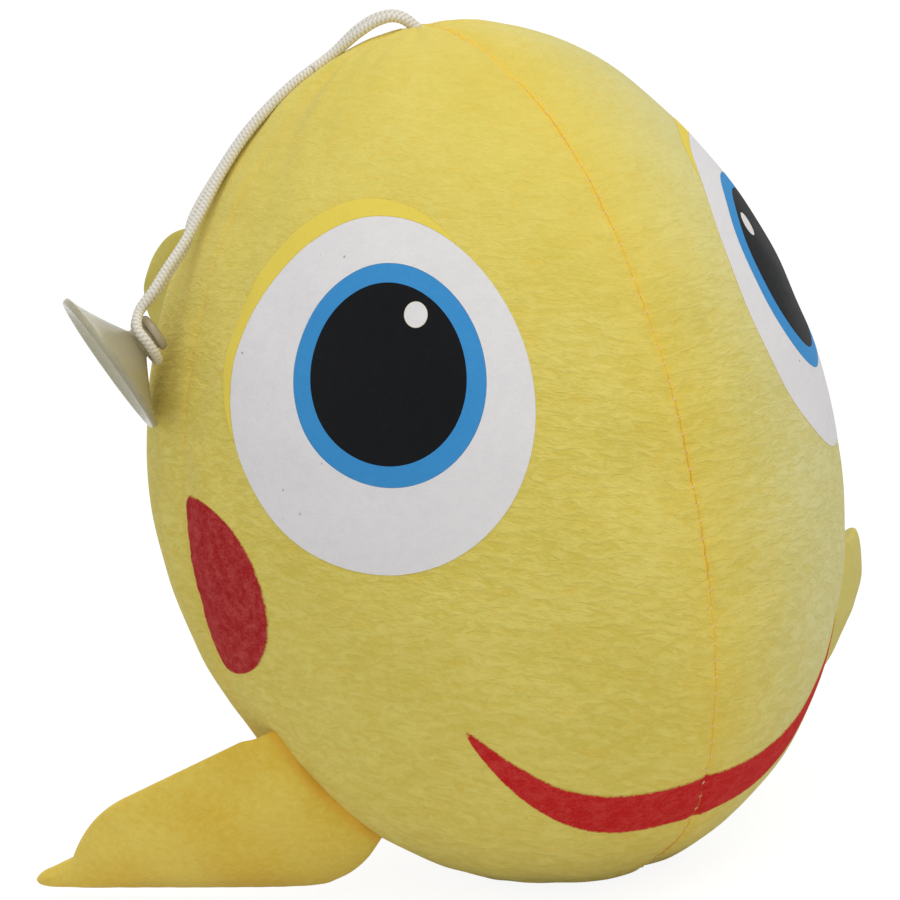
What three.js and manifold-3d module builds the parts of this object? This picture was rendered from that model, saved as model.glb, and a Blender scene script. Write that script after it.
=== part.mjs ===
// A plush fish that hangs on a window by a suction cup. Millimetres, +Z up.
// The fish looks along -Y, its right side is -X, and the origin is the middle of the flat it sits on.
import * as THREE from 'three';
import { mergeVertices } from 'three/addons/utils/BufferGeometryUtils.js';
import Module from 'manifold-3d';

const wasm = await Module();
wasm.setup();
const { Manifold, Mesh: SolidMesh } = wasm;

const DEG = Math.PI / 180;

// Stuffed body: an egg whose rings slide along a bowed spine
const EGG_HEIGHT = 185; // crown to belly, before the belly flattens
const BELLY_FLAT = 3; // height that the belly loses where it rests
const HALF_WIDTH = 72;
const NOSE_REACH = 90; // spine to the middle of the face
const BACK_REACH = 66; // spine to the middle of the back
const FACE_FULLNESS = 0.03; // how much fuller the face is low down
const SIDE_FULLNESS = 0.08; // how much fuller the sides are low down
const CROWN_LEAN = 5.5; // crown behind the middle of the spine
const SPINE_BOW = 13; // spine's bow, towards the back at mid height
const EGG_RINGS = 15;
const EGG_COLUMNS = 32;

// Cloth and seams
const PLUSH = 1.6; // thickness of the body's cloth
const ALLOWANCE = 4; // cloth turned in at each seam
const SEAM_GAP = 0.3;
const LINING_GAP = 0.3; // between cloth and filling
const CENTRE_SEAM_X = 0.6;
const SIDE_SEAM_Y = 17;

// Transfer prints
const PRINT_GAP = 0.25;
const PRINT_THICKNESS = 0.3;
const LAYER_GAP = 0.2; // between two colours of one print

// Eye: placed by its turn from the nose and its angle from the crown
const EYE_TURN = 47.5 * DEG;
const EYE_POLAR = 66.8 * DEG;
const WHITE_WIDTH = 69;
const WHITE_HEIGHT = 74;
const WHITE_SHIFT_BACK = 3.3; // from the iris's centre
const WHITE_SHIFT_DOWN = 3.3;
const IRIS_DIAMETER = 45;
const PUPIL_DIAMETER = 36.5;
const GLINT_DIAMETER = 5.6;
const GLINT_FORWARD = 7;
const GLINT_UP = 11.6;
const CRESCENT_WIDTH = 5.5;
const CRESCENT_END = 1; // width left at its two ends
const CRESCENT_FROM = -20 * DEG; // round the white, from the back upwards
const CRESCENT_TO = 128 * DEG;

// Cheek: half a leaf beside the side seam
const CHEEK_POLAR = 97.5 * DEG;
const CHEEK_HEIGHT = 40;
const CHEEK_WIDTH = 27;
const CHEEK_SEAM_MARGIN = 1.2;
const CHEEK_TIP = 1.4; // width left at its two tips

// Smile: a band that lifts towards its tip
const SMILE_POLAR = 134.5 * DEG; // where it crosses the centre seam
const SMILE_REACH = 43.5 * DEG; // turn from the nose to its tip
const SMILE_LIFT = 27; // tip above the middle, along the cloth
const SMILE_BAND = 13.5;
const SMILE_TIP = 1.2;
const SMILE_SEAM_MARGIN = 0.5;

// Fins: two cloths round a wad of filling
const FIN_CLOTH = 1.2;
const FIN_EDGE_GAP = 0.3; // between the two cloths at their edge
const FIN_WAD_GAP = 0.5; // between cloth and filling
const FIN_CROWN = 3.2; // swell of each side
const FIN_LIFT = 1.5; // root off the body's cloth
const SIDE_FIN_TURN = 84 * DEG;
const SIDE_FIN_ROOT_TOP = 119 * DEG; // angle from the crown
const SIDE_FIN_ROOT_END = 143 * DEG;
const SIDE_FIN_LENGTH = 82.5; // root to tip
const SIDE_FIN_RISE = 1.7; // of its upper edge above the root
const SIDE_FIN_RISE_OUT = 7; // distance over which the edge rises
const SIDE_FIN_SHOULDER = 44; // from here the upper edge falls
const SIDE_FIN_TONGUE = 69; // from here the tip is a narrow tongue
const SIDE_FIN_FALL = 7.9; // of the upper edge, from shoulder to tongue
const SIDE_FIN_DROP = 3.3; // of its lower edge below the root
const SIDE_FIN_DROP_OUT = 14; // distance over which that edge drops
const SIDE_FIN_HEEL = 17; // from here the lower edge rises
const SIDE_FIN_HEEL_ROUND = 6;
const SIDE_FIN_TAPER = 0.5; // rise of the lower edge for its length
const SIDE_FIN_TIP_ROUND = 4;
const SIDE_FIN_TIP_LEFT = 0.4; // share of its width left at the very tip
const RIGHT_FIN_OUT = [-0.416, 0.806, -0.414]; // laid back along the table
const LEFT_FIN_OUT = [0.922, 0.346, -0.174]; // held out
const LEFT_FIN_BEND = 57 * DEG; // towards the back, from root to tip
const TAIL_ROOT_TOP = 72 * DEG;
const TAIL_ROOT_END = 92 * DEG;
const TAIL_TIP = [-15.5, 141, 108.5];
const TAIL_TIP_WIDTH = 24;
const TAIL_BULGE = 8;
const TAIL_ROUNDING = 0.12; // share of its length that its tip rounds off

// Cord: one length, doubled into a loop round the cup's neck
const CORD_DIAMETER = 2.2;
const CORD_SIDES = 8;
const CORD_STEPS = 76;
const CORD_CLEARANCE = 0.3;
const CORD_ENDS_APART = 3.2;
const CORD_RISE = 45 * DEG; // slope at which the ends leave the crown
const CORD_BEND = 1.4; // from the crown to where the loop bends
const SEWN_END_REACH = 1.4; // sewn end past the bend
const LOOP_START = 2; // free loop's start past the bend
const KNOT_RADII = [5, 5, 3.6];
const KNOT_DEPTH = 16; // along the cord, under the crown
const KNOT_GRIP = 2.6; // depth of cord inside the knot
const POCKET_CLEARANCE = 0.8; // filling round the knot

// Suction cup, measured from the plane of its rim
const CUP_DIAMETER = 33;
const CUP_RIM_WIDTH = 1.6;
const CUP_LIP = 0.9;
const CUP_DISH = 5.8; // depth of the hollow
const CUP_DISH_CURVE = 1.3; // 1 is a cone, 2 a bowl
const CUP_FLARE = 1.25; // 1 is a cone, more is a trumpet
const CUP_WALL = 2.1; // at the middle of the dish
const CUP_NECK_DIAMETER = 6.4;
const CUP_NECK_LENGTH = 3.2;
const CUP_HEAD_DIAMETER = 8.2;
const CUP_HEAD_LENGTH = 2;
const CUP_SIDES = 32;
const CUP_RIM_CENTRE = [-77.3, 30.3, 124.2];
const CUP_AXIS = [0.886, -0.21, 0.413]; // from the rim to the head

const HALF_HEIGHT = EGG_HEIGHT / 2;
const CLEAR_OF_BODY = 4 * EGG_HEIGHT;

// Materials
const finish = (color, roughness, options = {}) =>
  new THREE.MeshStandardMaterial({ color, roughness, metalness: 0, ...options });

const MATERIALS = {
  plush: finish(0xd2c063, 0.95),
  finCloth: finish(0xcfb548, 0.95),
  filling: finish(0xf2f0ea, 1),
  printWhite: finish(0xe6e4e2, 0.6),
  printBlue: finish(0x3e98d6, 0.6),
  printBlack: finish(0x1a1c1d, 0.55),
  printYellow: finish(0xd9c75c, 0.7),
  printRed: finish(0xae2925, 0.65),
  printCheek: finish(0x9a2c2a, 0.65),
  cord: finish(0xe4e2da, 0.85),
  clear: finish(0xd8d3b0, 0.15, { transparent: true, opacity: 0.45 }),
};

// Body surface

/** Spine's place along Y, for a height from -1 at the belly to 1 at the crown. */
function spineAt(height) {
  return CROWN_LEAN * height - SPINE_BOW * (height * height - 1 / 3);
}

const REST_HEIGHT = BELLY_FLAT / HALF_HEIGHT - 1;
const REST_Y = spineAt(REST_HEIGHT);

/** Point on the body's skin, by angle from the crown and turn from the nose towards the right side. */
function skinPoint(polar, turn) {
  const height = Math.cos(polar);
  const ring = Math.sin(polar);
  const reach = Math.cos(turn) > 0 ? NOSE_REACH : BACK_REACH;
  return new THREE.Vector3(
    -HALF_WIDTH * ring * (1 - SIDE_FULLNESS * height) * Math.sin(turn),
    spineAt(height) - REST_Y - reach * ring * (1 - FACE_FULLNESS * height) * Math.cos(turn),
    HALF_HEIGHT * (height + 1) - BELLY_FLAT,
  );
}

/** Directions along the skin: down from the crown and round towards the right side. */
function skinSlopes(polar, turn) {
  const step = 1e-3;
  const down = skinPoint(polar + step, turn).sub(skinPoint(polar - step, turn));
  const round = skinPoint(polar, turn + step).sub(skinPoint(polar, turn - step));
  return { down: down.divideScalar(2 * step), round: round.divideScalar(2 * step) };
}

function skinNormal(polar, turn) {
  if (Math.sin(polar) < 1e-6) {
    return new THREE.Vector3(0, 0, Math.sign(Math.cos(polar)));
  }
  const { down, round } = skinSlopes(polar, turn);
  return round.cross(down).normalize();
}

/** Point lifted off the skin, or sunk into it where lift is negative. */
function liftedPoint(polar, turn, lift) {
  return skinPoint(polar, turn).addScaledVector(skinNormal(polar, turn), lift);
}

// Solids

function solidFromMesh(points, triangles) {
  const mesh = new SolidMesh({
    numProp: 3,
    vertProperties: Float32Array.from(points.flatMap((point) => point.toArray())),
    triVerts: Uint32Array.from(triangles.flat()),
  });
  return new Manifold(mesh);
}

/** Solid of a closed geometry. */
function solidFromGeometry(geometry) {
  geometry.deleteAttribute('normal');
  geometry.deleteAttribute('uv');
  const { attributes, index } = mergeVertices(geometry);
  return new Manifold(new SolidMesh({
    numProp: 3,
    vertProperties: Float32Array.from(attributes.position.array),
    triVerts: Uint32Array.from(index.array),
  }));
}

function geometryFromSolid(solid) {
  const mesh = solid.getMesh();
  const geometry = new THREE.BufferGeometry();
  geometry.setAttribute('position', new THREE.BufferAttribute(mesh.vertProperties, 3));
  geometry.setIndex(new THREE.BufferAttribute(mesh.triVerts, 1));
  return faceted(geometry);
}

function faceted(geometry) {
  const flat = geometry.index ? geometry.toNonIndexed() : geometry;
  flat.deleteAttribute('uv');
  flat.computeVertexNormals();
  return flat;
}

/** Box between two corners. */
function block(low, high) {
  const size = high.map((value, axis) => value - low[axis]);
  const middle = high.map((value, axis) => (value + low[axis]) / 2);
  return solidFromGeometry(new THREE.BoxGeometry(...size).translate(...middle));
}

/** Round rod along Z, from a height upwards. */
function rod(radius, sides, [x, y, from]) {
  const geometry = new THREE.CylinderGeometry(radius, radius, CLEAR_OF_BODY, sides);
  return solidFromGeometry(geometry.rotateX(Math.PI / 2).translate(x, y, from + CLEAR_OF_BODY / 2));
}

/** The body's egg, sunk by inset all over and flat where it rests. */
function eggSolid(inset) {
  const points = [liftedPoint(0, 0, -inset)];
  for (let ring = 1; ring < EGG_RINGS; ring++) {
    for (let column = 0; column < EGG_COLUMNS; column++) {
      const turn = (2 * Math.PI * column) / EGG_COLUMNS;
      points.push(liftedPoint((Math.PI * ring) / EGG_RINGS, turn, -inset));
    }
  }
  points.push(liftedPoint(Math.PI, 0, -inset));
  const at = (ring, column) => 1 + (ring - 1) * EGG_COLUMNS + (column % EGG_COLUMNS);
  const belly = points.length - 1;
  const triangles = [];
  for (let column = 0; column < EGG_COLUMNS; column++) {
    triangles.push([0, at(1, column + 1), at(1, column)]);
    triangles.push([belly, at(EGG_RINGS - 1, column), at(EGG_RINGS - 1, column + 1)]);
    for (let ring = 1; ring < EGG_RINGS - 1; ring++) {
      triangles.push([at(ring, column), at(ring, column + 1), at(ring + 1, column)]);
      triangles.push([at(ring + 1, column), at(ring, column + 1), at(ring + 1, column + 1)]);
    }
  }
  const far = CLEAR_OF_BODY;
  return solidFromMesh(points, triangles).subtract(block([-far, -far, -far], [far, far, inset]));
}

/** Slab of the given half thickness about the centre seam, or about the side seams. */
function seamSlabs(halfThickness) {
  const far = CLEAR_OF_BODY;
  const centre = block(
    [CENTRE_SEAM_X - halfThickness, -far, -far],
    [CENTRE_SEAM_X + halfThickness, far, far],
  );
  const sides = block(
    [-far, SIDE_SEAM_Y - halfThickness, -far],
    [far, SIDE_SEAM_Y + halfThickness, far],
  );
  return centre.add(sides);
}

// Crown, where the four panels meet and the cord comes out

/** Height of the skin over a place on the side seam's plane near the crown. */
function crownHeight() {
  let low = 0;
  let high = 0.5;
  for (let pass = 0; pass < 40; pass++) {
    const middle = (low + high) / 2;
    if (skinPoint(middle, Math.PI).y < SIDE_SEAM_Y) {
      low = middle;
    } else {
      high = middle;
    }
  }
  return skinPoint(low, Math.PI).z;
}

const CROWN_Z = crownHeight();
const CORD_RADIUS = CORD_DIAMETER / 2;
// The two cord ends stand side by side, square to the way that the loop lies
const ENDS_ACROSS = new THREE.Vector3(0.5, 0.866, 0);
const LOOP_LIES = new THREE.Vector3(-0.866, 0.5, 0);
const EXIT_DIRECTION = LOOP_LIES.clone().multiplyScalar(Math.cos(CORD_RISE)).setZ(Math.sin(CORD_RISE));
const CROWN_EXIT = new THREE.Matrix4().compose(
  new THREE.Vector3(0, SIDE_SEAM_Y, CROWN_Z),
  new THREE.Quaternion().setFromUnitVectors(new THREE.Vector3(0, 0, 1), EXIT_DIRECTION.normalize()),
  new THREE.Vector3(1, 1, 1),
);
const [BACK_END, FRONT_END] = [0.5, -0.5].map((side) =>
  ENDS_ACROSS.clone().multiplyScalar(side * CORD_ENDS_APART));

/** Solid made about the cord's way out of the crown, put in its place. */
const atExit = (solid) => solid.transform(CROWN_EXIT.elements);

/** Point on a cord end, at a distance from the crown along the cord. */
const endPoint = (end, distance) => end.clone().setZ(distance).applyMatrix4(CROWN_EXIT);

const HOLE_RADIUS = CORD_RADIUS + CORD_CLEARANCE;

/** Two holes for the cord ends, from a distance along the cord outwards. */
function cordHoles(from) {
  return [BACK_END, FRONT_END].map((end) => atExit(rod(HOLE_RADIUS, 12, [end.x, end.y, from])));
}

/** Slot with round ends that takes both cord ends, from a distance along the cord outwards. */
function cordSlot(from) {
  const across = Math.atan2(ENDS_ACROSS.y, ENDS_ACROSS.x);
  const quarter = Math.PI / 2;
  const outline = new THREE.Shape();
  outline.absarc(BACK_END.x, BACK_END.y, HOLE_RADIUS, across - quarter, across + quarter);
  outline.absarc(FRONT_END.x, FRONT_END.y, HOLE_RADIUS, across + quarter, across + 3 * quarter);
  const settings = { depth: CLEAR_OF_BODY, bevelEnabled: false, curveSegments: 6 };
  return atExit(solidFromGeometry(new THREE.ExtrudeGeometry(outline, settings).translate(0, 0, from)));
}

/** One of the four panels, with its seam allowances turned in. */
function panelSolid(side, facing, { skin, middle, lining, fold }) {
  const far = CLEAR_OF_BODY;
  const half = SEAM_GAP / 2;
  const quarter = block(
    [side > 0 ? CENTRE_SEAM_X + half : -far, facing > 0 ? SIDE_SEAM_Y + half : -far, -far],
    [side > 0 ? far : CENTRE_SEAM_X - half, facing > 0 ? far : SIDE_SEAM_Y - half, far],
  );
  const cloth = skin.subtract(lining);
  const turnedIn = middle.subtract(fold).intersect(seamSlabs(half + PLUSH));
  return cloth.add(turnedIn).intersect(quarter).subtract(cordSlot(-KNOT_DEPTH));
}

function stuffingSolid({ skin }) {
  const filling = eggSolid(PLUSH + LINING_GAP);
  const inner = eggSolid(PLUSH + ALLOWANCE + LINING_GAP);
  const grooves = skin.subtract(inner).intersect(seamSlabs(SEAM_GAP / 2 + PLUSH + LINING_GAP));
  const pocketRadius = KNOT_RADII[0] + POCKET_CLEARANCE;
  const pocketFloor = -KNOT_DEPTH - KNOT_RADII[2] - POCKET_CLEARANCE;
  const pocket = atExit(rod(pocketRadius, 16, [0, 0, pocketFloor]));
  return filling.subtract(grooves).subtract(pocket);
}

const GRIPPED_FROM = KNOT_RADII[2] - KNOT_DEPTH - KNOT_GRIP; // cord's end inside the knot

function knotSolid() {
  const geometry = new THREE.SphereGeometry(1, 16, 10).scale(...KNOT_RADII).translate(0, 0, -KNOT_DEPTH);
  const ball = atExit(solidFromGeometry(geometry));
  const [backHole, frontHole] = cordHoles(GRIPPED_FROM - CORD_CLEARANCE);
  return ball.subtract(backHole).subtract(frontHole);
}

// Thin pieces made of two facing grids of points

/** Closed solid between two grids of points. A looped grid's rows are closed rings. */
function betweenGrids(outer, inner, looped) {
  const rows = outer.length;
  const columns = outer[0].length;
  const points = [...outer.flat(), ...inner.flat()];
  const at = (layer, row, column) => layer * rows * columns + row * columns + (column % columns);
  const triangles = [];
  const quad = (a, b, c, d) => triangles.push([a, b, c], [a, c, d]);
  const spans = looped ? columns : columns - 1;
  for (let column = 0; column < spans; column++) {
    for (let row = 0; row < rows - 1; row++) {
      quad(at(0, row, column), at(0, row + 1, column), at(0, row + 1, column + 1), at(0, row, column + 1));
      quad(at(1, row, column), at(1, row, column + 1), at(1, row + 1, column + 1), at(1, row + 1, column));
    }
    quad(at(0, 0, column), at(0, 0, column + 1), at(1, 0, column + 1), at(1, 0, column));
    const last = rows - 1;
    quad(at(0, last, column), at(1, last, column), at(1, last, column + 1), at(0, last, column + 1));
  }
  if (!looped) {
    const end = columns - 1;
    for (let row = 0; row < rows - 1; row++) {
      quad(at(0, row, 0), at(1, row, 0), at(1, row + 1, 0), at(0, row + 1, 0));
      quad(at(0, row, end), at(0, row + 1, end), at(1, row + 1, end), at(1, row, end));
    }
  }
  return outwardGeometry(points, triangles);
}

/** Geometry whose faces point outwards, whichever way the grids run. */
function outwardGeometry(points, triangles) {
  let volume = 0;
  for (const [a, b, c] of triangles) {
    volume += points[a].dot(points[b].clone().cross(points[c]));
  }
  const order = volume < 0 ? triangles.map(([a, b, c]) => [a, c, b]) : triangles;
  const geometry = new THREE.BufferGeometry().setFromPoints(points);
  geometry.setIndex(order.flat());
  return faceted(geometry);
}

const grid = (rows, columns, make) =>
  Array.from({ length: rows + 1 }, (_, row) =>
    Array.from({ length: columns }, (__, column) => make(row / rows, column)));

/** Print that follows the skin. places gives [polar, turn] for each point of the grid. */
function printGeometry(places, looped = false) {
  const raise = (lift) => places.map((row) => row.map(([polar, turn]) => liftedPoint(polar, turn, lift)));
  return betweenGrids(raise(PRINT_GAP + PRINT_THICKNESS), raise(PRINT_GAP), looped);
}

// Eyes

const eyeSlopes = skinSlopes(EYE_POLAR, EYE_TURN);
const EYE_ROUND = eyeSlopes.round.length(); // skin length for a radian of turn
const EYE_DOWN = eyeSlopes.down.length();

/** Place on the eye, in millimetres along the cloth from the iris's centre. */
function eyePlace(side, back, up) {
  return [EYE_POLAR - up / EYE_DOWN, side * (EYE_TURN + back / EYE_ROUND)];
}

const ellipse = (back, up, width, height) => (angle) =>
  [back + (width / 2) * Math.cos(angle), up + (height / 2) * Math.sin(angle)];

const circle = (back, up, diameter) => ellipse(back, up, diameter, diameter);

/** Ring of print between two outlines. */
function eyeRing(side, inner, outer, rows, columns) {
  return printGeometry(grid(rows, columns, (share, column) => {
    const angle = (2 * Math.PI * column) / columns;
    const [fromBack, fromUp] = inner(angle);
    const [toBack, toUp] = outer(angle);
    return eyePlace(side, fromBack + share * (toBack - fromBack), fromUp + share * (toUp - fromUp));
  }), true);
}

function eyeDisc(side, back, up, diameter, cells) {
  return printGeometry(grid(cells, cells + 1, (share, column) => {
    const across = 2 * share - 1;
    const along = (2 * column) / cells - 1;
    const roundBack = across * Math.sqrt(1 - (along * along) / 2);
    const roundUp = along * Math.sqrt(1 - (across * across) / 2);
    return eyePlace(side, back + (roundBack * diameter) / 2, up + (roundUp * diameter) / 2);
  }));
}

function eyeCrescent(side, columns) {
  return printGeometry(grid(1, columns + 1, (share, column) => {
    const along = column / columns;
    const angle = CRESCENT_FROM + along * (CRESCENT_TO - CRESCENT_FROM);
    const swell = CRESCENT_END + (CRESCENT_WIDTH - CRESCENT_END) * Math.sin(Math.PI * along);
    const reach = 2 * (LAYER_GAP + share * swell);
    const edge = ellipse(WHITE_SHIFT_BACK, -WHITE_SHIFT_DOWN, WHITE_WIDTH + reach, WHITE_HEIGHT + reach);
    return eyePlace(side, ...edge(angle));
  }));
}

function eyePieces(name, side) {
  const gap = 2 * LAYER_GAP;
  const white = ellipse(WHITE_SHIFT_BACK, -WHITE_SHIFT_DOWN, WHITE_WIDTH, WHITE_HEIGHT);
  const glintHole = circle(-GLINT_FORWARD, GLINT_UP, GLINT_DIAMETER + gap);
  const pupil = circle(0, 0, PUPIL_DIAMETER);
  const aroundPupil = circle(0, 0, PUPIL_DIAMETER + gap);
  const iris = circle(0, 0, IRIS_DIAMETER);
  const aroundIris = circle(0, 0, IRIS_DIAMETER + gap);
  const glint = eyeDisc(side, -GLINT_FORWARD, GLINT_UP, GLINT_DIAMETER, 4);
  return [
    piece(`${name}_eye_white`, eyeRing(side, aroundIris, white, 2, 28), MATERIALS.printWhite),
    piece(`${name}_eye_iris`, eyeRing(side, aroundPupil, iris, 1, 28), MATERIALS.printBlue),
    piece(`${name}_eye_pupil`, eyeRing(side, glintHole, pupil, 3, 24), MATERIALS.printBlack),
    piece(`${name}_eye_glint`, glint, MATERIALS.printWhite),
    piece(`${name}_eye_crescent`, eyeCrescent(side, 18), MATERIALS.printYellow),
  ];
}

// Cheeks and smile

/** Turn at which the skin, at an angle from the crown, meets a place in front of the side seam. */
function turnAtY(polar, y) {
  let low = 0;
  let high = Math.PI;
  for (let pass = 0; pass < 40; pass++) {
    const middle = (low + high) / 2;
    if (skinPoint(polar, middle).y < y) {
      low = middle;
    } else {
      high = middle;
    }
  }
  return low;
}

function cheekGeometry(side) {
  const columns = 12;
  const down = skinSlopes(CHEEK_POLAR, Math.PI / 2).down.length();
  return printGeometry(grid(3, columns + 1, (share, column) => {
    const along = (2 * column) / columns - 1;
    const polar = CHEEK_POLAR + (along * CHEEK_HEIGHT) / 2 / down;
    const seam = SIDE_SEAM_Y - CHEEK_SEAM_MARGIN;
    const width = Math.max(CHEEK_TIP, CHEEK_WIDTH * Math.sqrt(1 - along * along));
    return [polar, side * turnAtY(polar, seam - share * width)];
  }));
}

function smileGeometry(side) {
  const columns = 16;
  const down = skinSlopes(SMILE_POLAR, 0).down.length();
  const round = skinSlopes(SMILE_POLAR, 0).round.length();
  const start = (SMILE_SEAM_MARGIN - side * CENTRE_SEAM_X) / round;
  return printGeometry(grid(3, columns + 1, (share, column) => {
    const along = column / columns;
    const middle = SMILE_POLAR - (SMILE_LIFT * along ** 4) / down;
    const band = Math.max(SMILE_TIP, SMILE_BAND * Math.sqrt(1 - along ** 6));
    return [middle + ((share - 0.5) * band) / down, side * (start + along * (SMILE_REACH - start))];
  }));
}

// Fins and tail

/** Distances of a side fin's two edges below its root's top, at a distance out from the root. */
function sideFinEdges(out, rootLength) {
  const share = (from, to) => Math.min(1, Math.max(0, (out - from) / (to - from)));
  const fall = share(SIDE_FIN_SHOULDER, SIDE_FIN_TONGUE);
  const upper = SIDE_FIN_FALL * fall * fall - SIDE_FIN_RISE * share(0, SIDE_FIN_RISE_OUT);
  const past = Math.max(0, out - SIDE_FIN_HEEL);
  const drop = SIDE_FIN_DROP * Math.sin((Math.PI / 2) * share(0, SIDE_FIN_DROP_OUT));
  const lower = rootLength + drop - (SIDE_FIN_TAPER * past * past) / (past + SIDE_FIN_HEEL_ROUND);
  const end = share(SIDE_FIN_LENGTH - SIDE_FIN_TIP_ROUND, SIDE_FIN_LENGTH);
  const narrow = Math.max(SIDE_FIN_TIP_LEFT, Math.sqrt(1 - end * end));
  const middle = (upper + lower) / 2;
  return [middle + (upper - middle) * narrow, middle + (lower - middle) * narrow];
}

/**
 * Middle surface of a side fin, bent in an arc from root to tip. Its root follows the body. Share runs
 * from root to tip, across from -1 at its upper edge to 1.
 */
function sideFinSurface(side, direction, bend) {
  const polar = (SIDE_FIN_ROOT_TOP + SIDE_FIN_ROOT_END) / 2;
  const half = (SIDE_FIN_ROOT_END - SIDE_FIN_ROOT_TOP) / 2;
  const root = (across) => liftedPoint(polar + across * half, side * SIDE_FIN_TURN, FIN_LIFT);
  const top = root(-1);
  const chord = root(1).sub(top);
  const rootLength = chord.length();
  chord.normalize();
  const outward = new THREE.Vector3(...direction).normalize();
  const backward = outward.clone().cross(chord).normalize();
  return (share, across) => {
    const out = share * SIDE_FIN_LENGTH;
    const angle = Math.max(1e-6, bend * share);
    const [upper, lower] = sideFinEdges(out, rootLength);
    const below = (upper + lower + across * (lower - upper)) / 2;
    const straight = top.clone().addScaledVector(chord, (rootLength * (1 + across)) / 2);
    const bow = root(across).sub(straight).multiplyScalar((1 - share) ** 2);
    return top.clone()
      .addScaledVector(chord, below)
      .addScaledVector(outward, (out * Math.sin(angle)) / angle)
      .addScaledVector(backward, (out * (1 - Math.cos(angle))) / angle)
      .add(bow);
  };
}

/** Middle surface of the tail, with share and across as on a side fin. */
function tailSurface() {
  const polar = (TAIL_ROOT_TOP + TAIL_ROOT_END) / 2;
  const half = (TAIL_ROOT_END - TAIL_ROOT_TOP) / 2;
  const root = (across) => liftedPoint(polar + across * half, Math.PI, FIN_LIFT);
  const chord = root(1).sub(root(-1)).normalize();
  return (share, across) => {
    const reach = share * (1 - TAIL_ROUNDING * across * across * share);
    const end = new THREE.Vector3(...TAIL_TIP).addScaledVector(chord, (across * TAIL_TIP_WIDTH) / 2);
    const belly = TAIL_BULGE * Math.sin(Math.PI * Math.pow(reach, 0.6));
    return root(across).lerp(end, reach).addScaledVector(chord, across * belly);
  };
}

function surfaceNormal(surface, share, across) {
  const step = 1e-3;
  const along = surface(share + step, across).sub(surface(share, across));
  const sideways = surface(share, across + step).sub(surface(share, across - step));
  return along.cross(sideways).normalize();
}

/** Half a fin's thickness: thin all round its edge, full in the middle. */
function finHalfThickness(share, across) {
  const length = Math.sin(Math.PI * share);
  return FIN_CLOTH + FIN_EDGE_GAP / 2 + FIN_CROWN * length * (1 - across * across);
}

/** Layer of a fin between two depths under one face, over part of the fin. */
function finLayer(surface, [fromShare, toShare], reach, outer, inner) {
  const lengthCells = 15;
  const widthCells = 6;
  const make = (depth) => grid(lengthCells, widthCells + 1, (share, column) => {
    const along = fromShare + share * (toShare - fromShare);
    const across = reach * ((2 * column) / widthCells - 1);
    const offset = depth(finHalfThickness(along, across));
    return surface(along, across).addScaledVector(surfaceNormal(surface, along, across), offset);
  });
  return betweenGrids(make(outer), make(inner), false);
}

function finPieces(surface, [faceName, backName, wadName]) {
  const whole = [0, 1];
  const wadSpan = [0.12, 0.88];
  const wadReach = 0.7;
  const wadDepth = (half) => half - FIN_CLOTH - FIN_WAD_GAP;
  const face = finLayer(surface, whole, 1, (half) => half, (half) => half - FIN_CLOTH);
  const back = finLayer(surface, whole, 1, (half) => FIN_CLOTH - half, (half) => -half);
  const wad = finLayer(surface, wadSpan, wadReach, wadDepth, (half) => -wadDepth(half));
  return [
    piece(faceName, face, MATERIALS.finCloth),
    piece(backName, back, MATERIALS.finCloth),
    piece(wadName, wad, MATERIALS.filling),
  ];
}

function sideFin(name, side, direction, bend = 0) {
  const names = ['front', 'back', 'wadding'].map((part) => `${name}_fin_${part}`);
  const order = side > 0 ? names : [names[1], names[0], names[2]];
  return finPieces(sideFinSurface(side, direction, bend), order);
}

function tailFin() {
  return finPieces(tailSurface(), ['tail_right', 'tail_left', 'tail_wadding']);
}

// Cord and cup

/** Route of the free loop: off the crown, down the right side, round the cup's neck and back. */
function loopRoute() {
  const start = CORD_BEND + LOOP_START;
  const down = [
    [-3.4, 20.8, 184.9],
    [-6.2, 22.6, 184.6],
    [-9.8, 24.8, 182.7],
    [-15.3, 28.3, 177.9],
    [-24.7, 30.8, 172.9],
    [-34.8, 32.6, 165.8],
    [-43, 32.7, 158.5],
    [-51.6, 31.7, 150.1],
    [-55, 30.3, 145],
    [-59.3, 29.7, 141.3],
    [-63.8, 29.5, 137.3],
    [-67.3, 32.5, 132.7],
    [-68, 33.4, 128.5],
    [-66.8, 32.3, 125.5],
    [-66.6, 29.5, 123.6],
  ];
  const up = [
    [-67.4, 26.1, 123.6],
    [-68.9, 23.7, 125.7],
    [-70.5, 23.4, 128.8],
    [-71.3, 25.2, 131.5],
    [-69.3, 27.6, 134.4],
    [-65.4, 27.3, 138.1],
    [-61.1, 27.6, 142.1],
    [-56.6, 28.2, 145.8],
    [-51.9, 29, 150.3],
    [-43.9, 30.3, 158.6],
    [-35.9, 30.2, 166],
    [-25.8, 28.5, 173.3],
    [-16.3, 26, 178.2],
    [-11.2, 22, 182.4],
    [-7.8, 19.8, 184.3],
    [-5, 18, 184.8],
  ];
  const points = [...down, ...up].map((point) => new THREE.Vector3(...point));
  return new THREE.CatmullRomCurve3([endPoint(BACK_END, start), ...points, endPoint(FRONT_END, start)]);
}

/** Cord along a curve. */
function cordTube(route, steps) {
  const section = new THREE.Shape();
  for (let side = 0; side < CORD_SIDES; side++) {
    const angle = (2 * Math.PI * side) / CORD_SIDES;
    const corner = [CORD_RADIUS * Math.cos(angle), CORD_RADIUS * Math.sin(angle)];
    if (side === 0) {
      section.moveTo(...corner);
    } else {
      section.lineTo(...corner);
    }
  }
  section.closePath();
  return faceted(new THREE.ExtrudeGeometry(section, { steps, extrudePath: route }));
}

/** Straight cord end, from inside the knot to just past the bend. */
function sewnEnd(end) {
  return new THREE.LineCurve3(endPoint(end, GRIPPED_FROM), endPoint(end, CORD_BEND + SEWN_END_REACH));
}

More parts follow.
